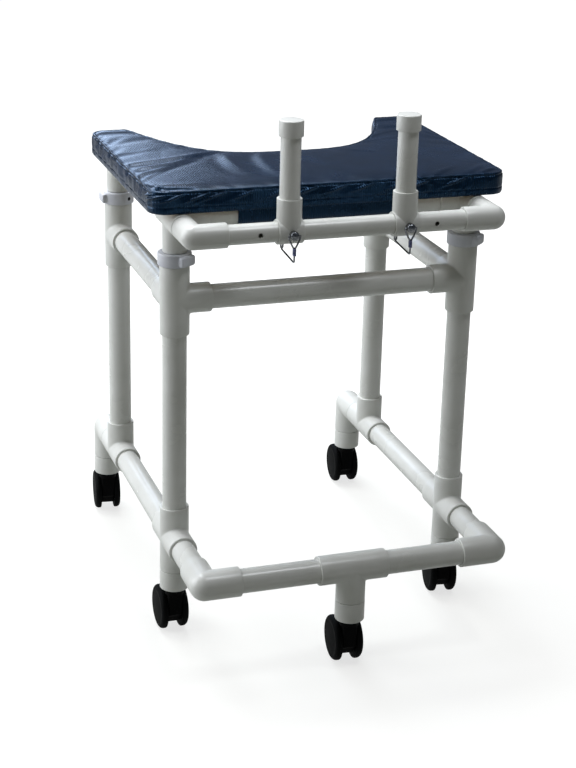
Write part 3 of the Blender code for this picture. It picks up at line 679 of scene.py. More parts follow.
@dataclass(frozen=True)
class PlatedSteel(HardFinish):
    """Steel wire and pins, nickel plated: bright, with fine drawing marks that soften it."""

    colour: str = "#85888C"
    dull: str = "#3E4145"
    roughness: float = 0.18
    cloud: Numbers = (420.0, 4.0)
    levels: Numbers = (0.3, 0.6)
    swing: Numbers = (0.12, -0.06)
    relief: Numbers = (420.0, 4.0, 0.2, 0.00004)
    numbers: tuple[tuple[str, float], ...] = (("Metallic", 1.0),)


@dataclass(frozen=True)
class CoatedCloth(Finish):
    """Navy upholstery vinyl: a woven nylon face under a thin PVC coat.

    The weave shows through as fine ribs, and the coat gives a sheen that turns the cloth
    pale where it faces the light at a low angle.
    """

    colour: str = "#06192E"
    dull: str = "#02101F"
    roughness: float = 0.24
    rib: float = 0.0032

    def inputs(self, tree: Tree, coords: Node) -> dict[str, Any]:
        """The Principled shader's inputs, by socket."""
        where = coords.outputs["Object"]
        cloud = add_node(tree, "ShaderNodeTexNoise", {
            "Vector": where, "Scale": 16.0, "Detail": 6.0, "Roughness": 0.6})
        # Twill ribs 3.2 mm apart from front to rear, coarser than the real weave so that they
        # show. A wave texture of scale 0.314 has one rib to a metre.
        turn = add_node(tree, "ShaderNodeMapping", {
            "Vector": where, "Rotation": (0.0, 0.0, math.radians(-5))})
        ribs = add_node(tree, "ShaderNodeTexWave", {
            "Vector": turn.outputs["Vector"], "Scale": 0.314 / self.rib, "Distortion": 1.2, "Detail": 2.0,
            "Detail Scale": 2.0})
        threads = add_node(tree, "ShaderNodeTexNoise", {"Vector": where, "Scale": 900.0, "Detail": 2.0})
        spread = add_node(tree, "ShaderNodeMapRange", {
            "Value": threads.outputs["Fac"], "To Min": 0.6, "To Max": 1.1})
        weave = add_node(tree, "ShaderNodeMath", {
            0: ribs.outputs["Fac"], 1: spread.outputs["Result"]}, operation="MULTIPLY").outputs["Value"]
        # The ribs scale the base colour, lighter on their crests and darker in their troughs: partly the
        # weave's own tone, partly painted shade in the troughs.
        rib_tone_and_trough_shade = add_node(tree, "ShaderNodeMapRange", {"Value": weave, "To Min": 0.78, "To Max": 1.25})
        tinted = add_node(tree, "ShaderNodeVectorMath", {
            0: self.tone(tree, cloud, (0.35, 0.68)), "Scale": rib_tone_and_trough_shade.outputs["Result"]}, operation="SCALE")
        creases = add_node(tree, "ShaderNodeTexNoise", {
            "Vector": where, "Scale": 38.0, "Detail": 3.0, "Roughness": 0.5})
        soft = add_node(tree, "ShaderNodeBump", {
            "Height": creases.outputs["Fac"], "Strength": 0.35, "Distance": 0.0010})
        bump = add_node(tree, "ShaderNodeBump", {
            "Height": weave, "Strength": 0.6, "Distance": 0.0003, "Normal": soft.outputs["Normal"]})
        return {"Base Color": tinted.outputs["Vector"], "Roughness": self.rough(tree, cloud, (-0.06, 0.10)),
                "Normal": bump.outputs["Normal"], "Sheen Weight": 0.10, "Sheen Roughness": 0.35,
                "Sheen Tint": srgb("#5A8FE0"), "Specular Tint": srgb("#7AB5EE"), "IOR": 1.52}


@dataclass(frozen=True)
class SealedPlywood(Finish):
    """Birch plywood under the pad, sanded and sealed: pale grain along X, nearly matt."""

    colour: str = "#A88A60"
    dull: str = "#8B6D45"
    roughness: float = 0.62

    def inputs(self, tree: Tree, coords: Node) -> dict[str, Any]:
        """The Principled shader's inputs, by socket."""
        # Grain lines about 3 mm apart.
        stretch = add_node(tree, "ShaderNodeMapping", {
            "Vector": coords.outputs["Object"], "Scale": (12.0, 330.0, 330.0)})
        grain = add_node(tree, "ShaderNodeTexNoise", {
            "Vector": stretch.outputs["Vector"], "Scale": 1.0, "Detail": 6.0})
        bump = add_node(tree, "ShaderNodeBump", {
            "Height": grain.outputs["Fac"], "Strength": 0.3, "Distance": 0.0002})
        return {"Base Color": self.tone(tree, grain, (0.35, 0.6)), "Roughness": self.roughness,
                "Normal": bump.outputs["Normal"]}


class Finishes:
    """The walker's materials, made once."""

    def __init__(self) -> None:
        """Make each material."""
        self.pipe = DrawnPvc("pvc_extruded").make()
        self.fitting = RigidPvc("pvc_moulded").make()
        self.collar = MouldedNylon("nylon_natural", "#DCDEE4", "#D0D3DB").make()
        self.housing = self.black("nylon_black", "#050506", "#030303", 0.60, 0.05)
        self.wheel = self.black("wheel_black", "#050607", "#030404", 0.62, 0.06)
        self.steel = PlatedSteel("nickel_plated").make()
        self.wrap = PlatedSteel("wire_wrap", "#7C80A0", "#4E5270", 0.34).make()
        # The set screw's dark colour is partly a blackened finish and partly painted shade for the hole that
        # it sits sunk in.
        self.screw = PlatedSteel("screw_blackened_and_hole_shade", "#2A2B2D", "#161718", 0.34).make()
        self.vinyl = CoatedCloth("vinyl_navy").make()
        self.board = SealedPlywood("plywood_sealed").make()

    @staticmethod
    def black(name: str, colour: str, dull: str, roughness: float, gloss: float) -> bpy.types.Material:
        """Nylon dyed black, whose gloss is held low."""
        numbers = (("IOR", 1.53), ("Specular IOR Level", gloss))
        return MouldedNylon(name, colour, dull, roughness, numbers=numbers).make()


# Sub-assemblies


@dataclass
class Assembly:
    """Something built on the walker's centre lines with its finishes."""

    layout: Layout
    finishes: Finishes


@dataclass
class PipeFrame(Assembly):
    """A frame of one pipe size, all of it on one body."""

    size: PipeSize
    body: str
    fillet: float

    def fitting(self, name: str, at: Point, arms: Sequence[Axis], replaces: Iterable[str] = (),
                spigot: Axis | None = None, passage: float | None = None) -> None:
        """Make one fitting."""
        ends = {axis: End.SPIGOT if axis is spigot else End.SOCKET for axis in arms}
        shell = Fitting(self.size, at, ends, self.fillet, passage=passage).shell()
        place(name, shell, self.finishes.fitting, self.body, "white_pvc", replaces)

    def pipe(self, name: str, axis: Axis, start: Point, span: float, replaces: Iterable[str] = (),
             free: bool = False) -> bpy.types.Object:
        """Make one pipe.

        Args:
            name: the piece's name.
            axis: the pipe's direction.
            start: the centre of the fitting that it starts in.
            span: distance to the next fitting's centre, or to the pipe's end if that is free.
            replaces: CAD nodes that it stands for.
            free: whether its far end is in no socket.

        Returns:
            The piece.
        """
        near = self.size.inset
        shell = pipe_shell(self.size, axis, start, near, span if free else span - near)
        return place(name, shell, self.finishes.pipe, self.body, "white_pvc", replaces)


@dataclass
class BaseFrame(PipeFrame):
    """The large-pipe frame that stands on the casters."""

    size: PipeSize = LARGE
    body: str = "base_frame"
    fillet: float = 0.0036

    def build(self) -> None:
        """Make every fitting and pipe of the base."""
        lay = self.layout
        rise = lay.upper_z - lay.lower_z
        for side, sign, inward in SIDE_NAMES:
            x = sign * lay.leg_x
            corner, drop = ((x, y, lay.lower_z) for y in (lay.front_bar_y, lay.rear_elbow_y))
            low_front, low_rear = ((x, y, lay.lower_z) for y in (lay.front_leg_y, lay.rear_leg_y))
            high_front, high_rear = ((x, y, lay.upper_z) for y in (lay.front_leg_y, lay.rear_leg_y))
            self.fitting(f"front_elbow_{side}", corner, (REARWARD, inward), [f"front_corner_{side}"])
            self.pipe(f"front_stub_{side}", REARWARD, corner, lay.front_leg_y - lay.front_bar_y)
            self.fitting(f"lower_cross_fitting_{side}", low_front, (UP, DOWN, FORWARD, REARWARD),
                         [f"lower_cross_{side}"])
            self.pipe(f"lower_rail_pipe_{side}", REARWARD, low_front, lay.span_y, [f"lower_side_rail_{side}"])
            self.fitting(f"rear_lower_tee_{side}", low_rear, (UP, FORWARD, REARWARD),
                         [f"rear_lower_corner_{side}"])
            self.fitting(f"rear_drop_elbow_{side}", drop, (DOWN, FORWARD), spigot=FORWARD)
            self.pipe(f"front_leg_pipe_{side}", UP, low_front, rise, [f"front_leg_{side}"])
            self.pipe(f"rear_leg_pipe_{side}", UP, low_rear, rise, [f"rear_leg_{side}"])
            self.fitting(f"upper_front_cross_{side}", high_front, (UP, DOWN, REARWARD, inward),
                         [f"upper_front_fitting_{side}"], passage=POST_BORE)
            self.fitting(f"upper_rear_branch_{side}", high_rear, (UP, DOWN, FORWARD),
                         [f"upper_rear_tee_{side}"], passage=POST_BORE)
            self.pipe(f"upper_rail_pipe_{side}", REARWARD, high_front, lay.span_y,
                      [f"upper_side_rail_{side}"])
            self.pipe(f"front_bar_pipe_{side}", inward.opposite, (0.0, *corner[1:]), lay.leg_x)
        self.fitting("front_tee", (0.0, *corner[1:]), (LEFT, RIGHT, DOWN), ["front_bar"])
        self.pipe("upper_crossbar_pipe", RIGHT, (-lay.leg_x, *high_front[1:]), 2 * lay.leg_x,
                  ["upper_crossbar"])


@dataclass
class HeightCollars(Assembly):
    """Nylon collars that plug into the upper fittings and clamp the sliding posts."""

    radius: float = 0.0230
    height: float = 0.0175
    lip: float = 0.0016
    clamp_reach: float = 0.0268
    clamp_thickness: float = 0.0124
    clamp_length: float = 0.0254
    clamp_height: float = 0.0145
    screw_radius: float = 0.0027
    screw_proud: float = 0.0006
    screw_from_clamp: float = 121.0
    clamp_degrees: dict[str, float] = field(default_factory=lambda: {
        "front_left": -58.0, "front_right": -48.0, "rear_left": 180.0, "rear_right": 19.0})

    def ring(self) -> Shell:
        """The ring with its plug, rounded at its outer rims."""
        lip, inner, top, plug = self.lip, self.radius - self.lip, self.height, -LARGE.socket_depth
        profile = [(POST_BORE, plug), (LARGE.radius, plug), (LARGE.radius, 0.0)]
        profile += arc(inner, lip, lip, -90, 0) + arc(inner, top - lip, lip, 0, 90)
        profile += [(POST_BORE + 0.0022, top), (POST_BORE + 0.0016, top - 0.0012), (POST_BORE, top - 0.0018),
                    (POST_BORE, plug)]
        return Shell().turned(profile)

    def clamp(self) -> Shell:
        """The clamp block: a rounded box whose section is a superellipse.

        Its length runs along Y. A point at angles a and b lies at small signed powers of
        their cosines and sines times the half sizes.
        """
        half_x, half_y, half_z = self.clamp_thickness / 2, self.clamp_length / 2, self.clamp_height / 2
        a = np.linspace(-math.pi, math.pi, 49)[None, :]
        b = np.linspace(-math.pi / 2, math.pi / 2, 25)[:, None]

        def power(value: Array, exponent: float) -> Array:
            """A signed power."""
            return np.sign(value) * np.abs(value) ** exponent

        x = half_x * power(np.cos(b), 0.3) * power(np.cos(a), 0.45)
        y = half_y * power(np.sin(b), 0.3) * np.ones_like(a)
        z = half_z * power(np.cos(b), 0.3) * power(np.sin(a), 0.45)
        return Shell().grid(np.stack([self.clamp_reach - half_x + x, y, self.height / 2 + z], -1))

    def screw(self) -> Shell:
        """The set screw's end with its socket, just proud of the ring so that it shows. Its dark colour is
        partly a blackened finish and partly painted shade for the hole it sits sunk in.
        """
        radius, face = self.screw_radius, self.radius + self.screw_proud
        seat, root = face - 0.0005, face - 0.0040
        profile = [(0.0, seat), (radius * 0.5, seat), (radius * 0.55, face - 0.0001), (radius * 0.85, face),
                   (radius, seat), (radius, root), (0.0, root)]
        return Shell().turned(profile, RIGHT, (0.0, 0.0, self.height / 2), 24)

    def build(self) -> None:
        """Make the four collars, each turned as it was tightened."""
        lay, nylon = self.layout, self.finishes.collar
        for end, y in (("front", lay.front_leg_y), ("rear", lay.rear_leg_y)):
            for side, sign, _ in SIDE_NAMES:
                name = f"{end}_{side}"
                turn = self.clamp_degrees[name]
                at = Matrix.Translation((sign * lay.leg_x, y, lay.collar_z))
                for part, shell, degrees, finish, nodes in (
                        ("ring", self.ring(), 0.0, nylon, [f"height_collar_{name}"]),
                        ("clamp", self.clamp(), turn, nylon, []),
                        ("screw", self.screw(), turn + self.screw_from_clamp, self.finishes.screw, [])):
                    shell.moved(at @ Matrix.Rotation(math.radians(degrees), 4, "Z"))
                    place(f"collar_{part}_{name}", shell, finish, "base_frame", "natural_nylon", nodes, 50)


@dataclass
class Casters(Assembly):
    """Five twin-wheel casters and the bushings that hold their stems."""

    wheel_radius: float = 0.032
    wheel_width: float = 0.0105
    tread: float = 0.0040
    shoulder: float = 0.0060
    face: float = 0.0245
    dome: float = 0.0013
    wheel_bore: float = 0.0043
    half_gap: float = 0.0105
    web_radius: float = 0.0235
    web_half: float = 0.0101
    web_edge: float = 0.0022
    neck_half: float = 0.011
    neck_drop: float = 0.0060
    neck_blend: float = 0.010
    hub_radius: float = 0.0135
    hub_height: float = 0.0095
    axle_radius: float = 0.0040
    lip: float = 0.0012
    trail: float = 0.0206
    height: float = 0.0724
    sleeve_radius: float = 0.0205
    sleeve_length: float = 0.0285
    plug_length: float = 0.020
    stem_radius: float = 0.0044
    stem_reach: float = 0.0040
    swivel: dict[str, float] = field(default_factory=lambda: {
        "centre_front": -2.5, "front_left": 0.5, "front_right": -8.5, "rear_left": -6.5, "rear_right": -3.5})

    def sleeve(self) -> Shell:
        """The bushing below the fitting, its plug in the socket, and the stem."""
        radius, lip, top, upper = self.sleeve_radius, self.lip, self.sleeve_length, 0.0008
        plug = top + self.plug_length
        profile = [(0.0, -self.stem_reach), (self.stem_radius, -self.stem_reach), (self.stem_radius, 0.0)]
        profile += arc(radius - lip, lip, lip, -90, 0) + arc(radius - upper, top - upper, upper, 0, 90)
        profile += [(LARGE.radius, top), (LARGE.radius, plug), (0.0, plug)]
        return Shell().turned(profile)

    def wheel(self, sign: float) -> Shell:
        """A wheel: flat tread, round shoulder, stepped rim and a shallow domed face."""
        r, w, face, bore = self.wheel_radius, self.wheel_width, self.face, self.wheel_bore
        quarter = np.radians(np.linspace(0, 90, 9))
        profile = [(bore, 0.0004), (r - 0.0016, 0.0), (r - 0.0004, 0.0004), (r, 0.0014)]
        profile += [(r - self.shoulder * (1 - math.cos(a)), self.tread + (w - 0.0049) * math.sin(a))
                    for a in quarter]
        profile += [(face + 0.0007, w - 0.0010)]
        profile += [(rho, w - self.dome * (rho / face) ** 2) for rho in np.linspace(face, 0.0, 9)]
        inner = [(0.0, w - 0.0025), (bore, w - 0.0025), (bore, 0.0004)]
        axis, at = (RIGHT if sign > 0 else LEFT), (sign * self.half_gap, 0, 0)
        return Shell().turned(profile, axis, at, 72).turned(inner, axis, at, 72)

    def hood_radius(self, angle: Array) -> Array:
        """How far the hood reaches from the axle, by angle from straight behind it.

        The outline is the smooth union of a disc round the axle and the upright neck under
        the stem, found by halving along each ray.
        """
        low, high = np.full_like(angle, 0.010), np.full_like(angle, 0.060)
        shift = 0.42 * self.trail
        neck_top = self.height - self.neck_drop - self.wheel_radius
        for _ in range(40):
            mid = (low + high) / 2
            y, z = mid * np.cos(angle), mid * np.sin(angle)
            disc = mid - self.web_radius
            side = np.abs(y + shift) - (self.neck_half + shift)
            block = np.maximum(np.maximum(side, z - neck_top), -z - 0.002)
            h = np.clip(0.5 + 0.5 * (block - disc) / self.neck_blend, 0, 1)
            inside = block * (1 - h) + disc * h - self.neck_blend * h * (1 - h) < 0
            low, high = np.where(inside, mid, low), np.where(inside, high, mid)
        return low

    def hood(self) -> Shell:
        """The hood between the wheels: its outline carried across the width with round edges."""
        angle = np.linspace(0, TURN, 97)
        turn = np.radians(np.linspace(-90, 90, 13))
        edge, half = self.web_edge, self.web_half
        across = np.where(turn < 0, edge - half, half - edge) + edge * np.sin(turn)
        across = np.concatenate([[-half] * 2, across, [half] * 2])
        inset = np.concatenate([[edge] * 2, edge * (1 - np.cos(turn)), [edge] * 2])
        radius = np.maximum(self.hood_radius(angle) - inset[:, None], 0)
        radius[[0, -1]] = 0.0
        radius[[1, -2]] *= 0.6
        y, z = radius * np.cos(angle), radius * np.sin(angle)
        x = np.broadcast_to(across[:, None], y.shape)
        return Shell().grid(np.stack([x, y + self.trail, z + self.wheel_radius], -1))

    def hub(self) -> Shell:
        """The swivel hub, with a rounded rim and a bore that the stem turns in."""
        top, radius, lip, bore = self.height, self.hub_radius, self.lip, self.stem_radius + GAP
        foot, floor = top - self.hub_height, top - self.stem_reach - GAP
        profile = [(0.0, foot), (radius, foot)] + arc(radius - lip, top - lip, lip, 0, 90)
        return Shell().turned(profile + [(bore, top), (bore, floor), (0.0, floor)])

    def axles(self) -> Shell:
        """The stub axles that the wheels turn on."""
        half, radius = self.half_gap + self.wheel_width - 0.0029, self.axle_radius
        profile = [(0.0, -half), (radius, -half), (radius, half), (0.0, half)]
        return Shell().turned(profile, RIGHT, (0, self.trail, self.wheel_radius), 32)

    def build(self) -> None:
        """Make the five casters where their CAD sleeves are."""
        black = self.finishes.housing
        for name, degrees in self.swivel.items():
            x, y, _ = centre(f"caster_sleeve_{name}")
            turn = Matrix.Translation((x, y, 0.0)) @ Matrix.Rotation(math.radians(degrees), 4, "Z")
            sleeve = self.sleeve().moved(Matrix.Translation((x, y, self.height + GAP)))
            place(f"caster_{name}_bushing", sleeve, self.finishes.fitting, "base_frame", "white_pvc",
                  [f"caster_sleeve_{name}"])
            body = f"caster_{name}"
            for part, shell, nodes in (("hood", self.hood(), [f"{body}_housing"]), ("hub", self.hub(), []),
                                       ("axles", self.axles(), [])):
                place(f"{body}_{part}", shell.moved(turn), black, body, "black_nylon", nodes)
            to_axle = turn @ Matrix.Translation((0, self.trail, self.wheel_radius))
            for side, sign, _ in SIDE_NAMES:
                place(f"{body}_disc_{side}", self.wheel(sign).moved(to_axle), self.finishes.wheel,
                      f"wheel_{name}_{side}", "black_wheel", [f"{body}_wheel_{side}"], 30)


@dataclass
class Platform(PipeFrame):
    """The small-pipe platform frame that slides in the legs."""

    size: PipeSize = SMALL
    body: str = "platform"
    fillet: float = 0.0032
    hole_radius: float = 0.0033
    hole_xs: Sequence[float] = (-0.122, -0.080, 0.080, 0.122)

    def drill(self, bar: bpy.types.Object) -> None:
        """Cut the round pin holes through a bar from front to back."""
        lay, radius, past = self.layout, self.hole_radius, SMALL.od
        profile = [(0, -past), (radius, -past), (radius, past), (0, past)]
        drills = Shell()
        for x in self.hole_xs:
            drills.turned(profile, REARWARD, (x, lay.platform_bar_y, lay.platform_z), 32)
        tool = add_object("drill", drills.mesh("drill"))
        cut = bar.modifiers.new("holes", "BOOLEAN")
        cut.operation, cut.solver, cut.object = "DIFFERENCE", "EXACT", tool
        bored = evaluated_mesh(bar)
        bar.modifiers.clear()
        bar.data = bored
        bored.set_sharp_from_angle(angle=math.radians(40))
        bpy.data.objects.remove(tool, do_unlink=True)

    def build(self) -> None:
        """Make the platform's fittings, posts, rails and bars."""
        lay = self.layout
        post = lay.platform_z - lay.post_bottom_z
        for side, sign, inward in SIDE_NAMES:
            elbow, front, rear = ((sign * lay.leg_x, y, lay.platform_z)
                                  for y in (lay.platform_bar_y, lay.front_leg_y, lay.rear_leg_y))
            self.fitting(f"platform_four_way_{side}", front, (DOWN, FORWARD, REARWARD, inward),
                         [f"platform_front_corner_{side}"])
            self.fitting(f"platform_front_elbow_{side}", elbow, (REARWARD, inward), spigot=REARWARD)
            self.pipe(f"front_post_{side}", DOWN, front, post, free=True)
            self.pipe(f"rear_post_{side}", DOWN, rear, post, free=True)
            self.fitting(f"platform_rear_elbow_{side}", rear, (FORWARD, DOWN),
                         [f"platform_rear_corner_{side}"])
            self.pipe(f"platform_side_rail_{side}", REARWARD, front, lay.span_y)
        for name, y, node in (("platform_bar", lay.platform_bar_y, "platform_front_bar"),
                              ("cross_pipe", lay.front_leg_y, "platform_cross_pipe")):
            bar = self.pipe(name, RIGHT, (-lay.leg_x, y, lay.platform_z), 2 * lay.leg_x, [node])
            if name == "platform_bar":
                self.drill(bar)


def corner_inset(distance: Array, radius: float) -> Array:
    """How far a rounded corner draws an edge in, at a distance from the corner."""
    short = np.clip(radius - distance, 0, radius)
    return radius - np.sqrt(radius ** 2 - short ** 2)


def outline(grid: Array) -> Array:
    """The closed outline of a plan grid, counterclockwise from the front left corner."""
    return np.concatenate([grid[:, 0], grid[-1, 1:-1], grid[::-1, -1], grid[0, -2:0:-1], grid[:1, 0]])


def outward(ring: Array) -> Array:
    """Unit normals of a closed ring, smoothed over three points."""
    loop = ring[:-1]
    along = np.roll(loop, -1, axis=0) - np.roll(loop, 1, axis=0)
    normals = unit(np.stack([along[:, 1], -along[:, 0]], 1))
    normals = unit(normals + np.roll(normals, 1, axis=0) + np.roll(normals, -1, axis=0))
    return np.concatenate([normals, normals[:1]])


def from_ring(points: Array, ring: Array) -> tuple[Array, Array]:
    """Each plan point's distance from a ring, and how far along it the nearest point is."""
    start, span = ring[:-1], np.diff(ring, axis=0)
    length = np.linalg.norm(span, axis=1)
    run = np.concatenate([[0.0], length.cumsum()[:-1]])
    distance, along = [], []
    for part in np.array_split(points, max(1, len(points) // 4000)):
        offset = part[:, None] - start[None]
        share = np.clip((offset * span).sum(-1) / np.maximum(length ** 2, 1e-12), 0, 1)
        gap = np.linalg.norm(offset - share[..., None] * span, axis=-1)
        best = gap.argmin(axis=1)
        rows = np.arange(len(part))
        distance.append(gap[rows, best])
        along.append(run[best] + share[rows, best] * length[best])
    return np.concatenate(distance), np.concatenate(along)


def level(plan: Array, height: float | Array) -> Array:
    """Plan points set at a height."""
    return np.concatenate([plan, np.broadcast_to(height, plan.shape[:-1])[..., None]], -1)


@dataclass(frozen=True)
class Fold:
    """A fold in the top panel, along a curve given in millimetres from the walker's middle."""

    start: tuple[float, float]
    middle: tuple[float, float]
    end: tuple[float, float]
    height: float
    width: float
    lean: float = 0.6

    def lift(self, points: Array) -> Array:
        """The height that the fold adds at each plan point.

        Across the curve it is a bell, h exp(-d^2/w^2), plus a share, lean, of the odd wave
        d/w exp(-d^2/w^2), so that a valley runs beside the crest. Along the curve it fades as
        the root of a half sine.
        """
        a, b, c = (np.array(p) / 1000 for p in (self.start, self.middle, self.end))
        t = np.linspace(0, 1, 33)[:, None]
        curve = (1 - t) ** 2 * a + 2 * t * (1 - t) * b + t * t * c
        offset = points[:, None] - curve[None]
        nearest = np.argmin((offset ** 2).sum(-1), axis=1)
        direction = unit(np.gradient(curve, axis=0))[nearest]
        at = offset[np.arange(len(points)), nearest] / (self.width / 1000)
        signed = direction[:, 0] * at[:, 1] - direction[:, 1] * at[:, 0]
        fade = np.sqrt(np.sin(math.pi * (0.03 + 0.94 * nearest / 32)))
        shape = 1 - self.lean + 1.6 * signed * self.lean
        return self.height / 1000 * fade * bell(np.linalg.norm(at, axis=1)) * shape


@dataclass
class ForearmPad(Assembly):
    """The upholstered pad: plywood board, cushion with its seams and folds, and wrap flap."""

    width: float = 0.501
    front_overhang: float = 0.042
    rear_overhang: float = 0.003
    thickness: float = 0.0330
    crown: float = 0.0030
    crown_run: float = 0.030
    seam_inset: float = 0.0024
    roll: float = 0.0090
    foot_roll: float = 0.004
    foot_inset: float = 0.0010
    corner: float = 0.024
    horn_width: float = 0.058
    horn_blend: float = 0.022
    cutout_depth: float = 0.180
    cutout_power: float = 3.4
    board_thickness: float = 0.006
    board_inset: float = 0.0060
    board_play: float = 0.0006
    board_eased: float = 0.0008
    flap_width: float = 0.250
    flap_thickness: float = 0.0016
    flap_ripple: float = 0.0005
    most_filled: float = 0.0018
    front_streaks: Sequence[float] = (22, 38, 62, 96, 118, 158, 205, 243, 284, 322, 371, 402, 455)
    side_tucks: Sequence[float] = (548, 611, 668, 745, 812, 905, 1120, 1300, 1490, 1600, 1623, 1668, 1712,
                                   1775, 1816, 1850, 1876)
    folds: Sequence[Fold] = (
        Fold((-252, -54), (-200, -76), (-112, -14), 5.0, 9.0),
        Fold((-250, -84), (-206, -96), (-140, -38), 4.2, 8.0),
        Fold((-247, -118), (-208, -100), (-146, -54), 3.0, 8.0),
        Fold((-244, -140), (-222, -118), (-196, -96), 1.1, 5.0),
        Fold((-253, -103), (-246, -95), (-236, -86), 1.1, 2.8),
        Fold((-254, -66), (-246, -62), (-234, -60), 0.9, 2.8),
        Fold((-248, 118), (-236, 122), (-222, 124), 0.8, 3.5),
        Fold((-250, 8), (-222, 0), (-186, 22), 0.9, 7.0),
        Fold((-243, -166), (-238, -186), (-226, -206), 3.0, 4.0, 0.8),
        Fold((-246, -182), (-228, -192), (-190, -196), 3.4, 4.0, 0.8),
        Fold((-236, -176), (-214, -184), (-176, -180), 1.2, 6.0),
        Fold((-104, -30), (-122, -84), (-108, -140), 3.6, 13.0, 0.5),
        Fold((-54, -30), (-76, -90), (-66, -160), 3.2, 12.0, 0.5),
        Fold((-10, -60), (-24, -110), (-12, -170), 1.1, 12.0, 0.4),
        Fold((40, -56), (22, -110), (34, -176), 0.8, 13.0, 0.4),
        Fold((134, 36), (168, 56), (200, 58), 1.5, 5.0),
        Fold((143, 52), (172, 68), (206, 68), 1.2, 4.5),
        Fold((163, 86), (186, 94), (212, 94), 1.0, 4.5),
        Fold((170, 112), (192, 120), (220, 119), 1.0, 4.5),
        Fold((120, 8), (160, 22), (208, 10), 0.9, 9.0),
        Fold((76, -42), (94, -50), (112, -66), 1.1, 5.0),
        Fold((230, 50), (236, 28), (250, 12), 1.3, 4.0),
        Fold((130, -206), (158, -190), (186, -168), 1.2, 6.0),
        Fold((208, -202), (226, -192), (246, -176), 1.4, 3.5),
        Fold((190, -206), (214, -180), (248, -150), 1.1, 6.0))

    def __post_init__(self) -> None:
        """Work out the pad's edges, heights and top seam."""
        lay = self.layout
        self.half = self.width / 2
        self.mouth = self.half - self.horn_width
        self.front = lay.front_leg_y - self.front_overhang
        self.rear = lay.rear_leg_y + self.rear_overhang
        self.middle_y = (lay.front_leg_y + lay.rear_leg_y) / 2
        self.board_z = lay.platform_z + SMALL.body + GAP
        self.edge_z = self.board_z + self.thickness - self.crown
        self.floor_z = self.board_z + 2 * GAP
        self.roof_z = self.board_z + self.board_thickness + GAP
        self.flap_rise = self.board_z - GAP - lay.platform_z
        self.seam = outline(self.plan(self.seam_inset))

    def front_edge(self, x: Array) -> Array:
        """The front edge's place at each place across the pad."""
        return self.front + corner_inset(self.half - np.abs(x), self.corner)

    def rear_edge(self, x: Array) -> Array:
        """The rear edge: the cutout is a power curve, run smoothly into the horns' straight ends."""
        cutout = self.rear + self.cutout_depth * ((np.abs(x) / self.mouth) ** self.cutout_power - 1)
        blend = np.maximum(self.horn_blend - np.abs(cutout - self.rear), 0) ** 2 / (4 * self.horn_blend)
        return np.minimum(cutout, self.rear) - blend - corner_inset(self.half - np.abs(x), self.corner)

    def plan(self, inset: float) -> Array:
        """Plan points of the pad, columns from left to right and rows from front to rear.

        Columns and rows crowd together towards the edges, as the sine of an even share, so
        that the seams are crisp there.

        Args:
            inset: how far inside the pad's outline, along its normals, the points' own
                outline lies.

        Returns:
            Columns by rows by two.
        """
        inner = self.mouth * np.sin(np.linspace(0, math.pi / 2 - 0.16, 34))
        bend = np.linspace(inner[-1], self.mouth + 0.010, 20)[1:]
        horn = bend[-1] + (self.half - bend[-1]) * np.sin(np.linspace(0, math.pi / 2, 18))[1:]
        positive = np.concatenate([inner[1:], bend, horn])
        x = np.concatenate([-positive[::-1], [0.0], positive]) * (self.half - inset) / self.half
        dense = self.half * np.sin(np.linspace(-math.pi / 2, math.pi / 2, 1601))
        ends = []
        for edge, sign in ((self.front_edge, 1.0), (self.rear_edge, -1.0)):
            line = np.stack([dense, edge(dense)], 1)
            along = unit(np.gradient(line, axis=0))
            moved = line + sign * inset * np.stack([-along[:, 1], along[:, 0]], 1)
            ends.append(np.interp(x, moved[:, 0], moved[:, 1])[:, None])
        t = np.linspace(-1, 1, 49)
        share = (np.sin(t * math.pi / 2) * 0.72 + t * 0.28 + 1) / 2
        y = ends[0] + (ends[1] - ends[0]) * share
        return np.stack([np.broadcast_to(x[:, None], y.shape), y], -1)

    def cushion(self) -> Shell:
        """The cover before it is filled: top panel, side band, and underside with its recess.

        The top rises from its seam as 1 - exp(-d/run) of the distance d from it. The band
        rolls out from under the seam along a quarter of an ellipse, and back in at the foot.
        """
        plan, ring = self.plan(self.seam_inset), self.seam
        distance, _ = from_ring(plan.reshape(-1, 2), ring)
        rise = 1 - np.exp(-distance.reshape(plan.shape[:2]) / self.crown_run)
        shell = Shell().grid(level(plan, self.edge_z + (self.crown - 0.0008) * rise))
        share = np.linspace(0, 1, 25) ** 1.2
        deep = self.edge_z - self.floor_z
        head = np.clip(share * deep / self.roll, 0, 1)
        foot = np.clip((1 - share) * deep / self.foot_roll, 0, 1)
        bulge = self.seam_inset * np.sqrt(1 - (1 - head) ** 2)
        bulge = bulge - self.foot_inset * (1 - np.sqrt(1 - (1 - foot) ** 2))
        side = ring[None] + outward(ring)[None] * bulge[:, None, None]
        shell.grid(level(side, (self.edge_z - share * deep)[:, None]))
        inner = self.plan(self.board_inset - self.board_play)
        inner_ring = outline(inner)
        shell.grid(np.stack([level(ring, self.floor_z), level(inner_ring, self.floor_z),
                             level(inner_ring, self.roof_z)]))
        return shell.grid(level(inner, self.roof_z))

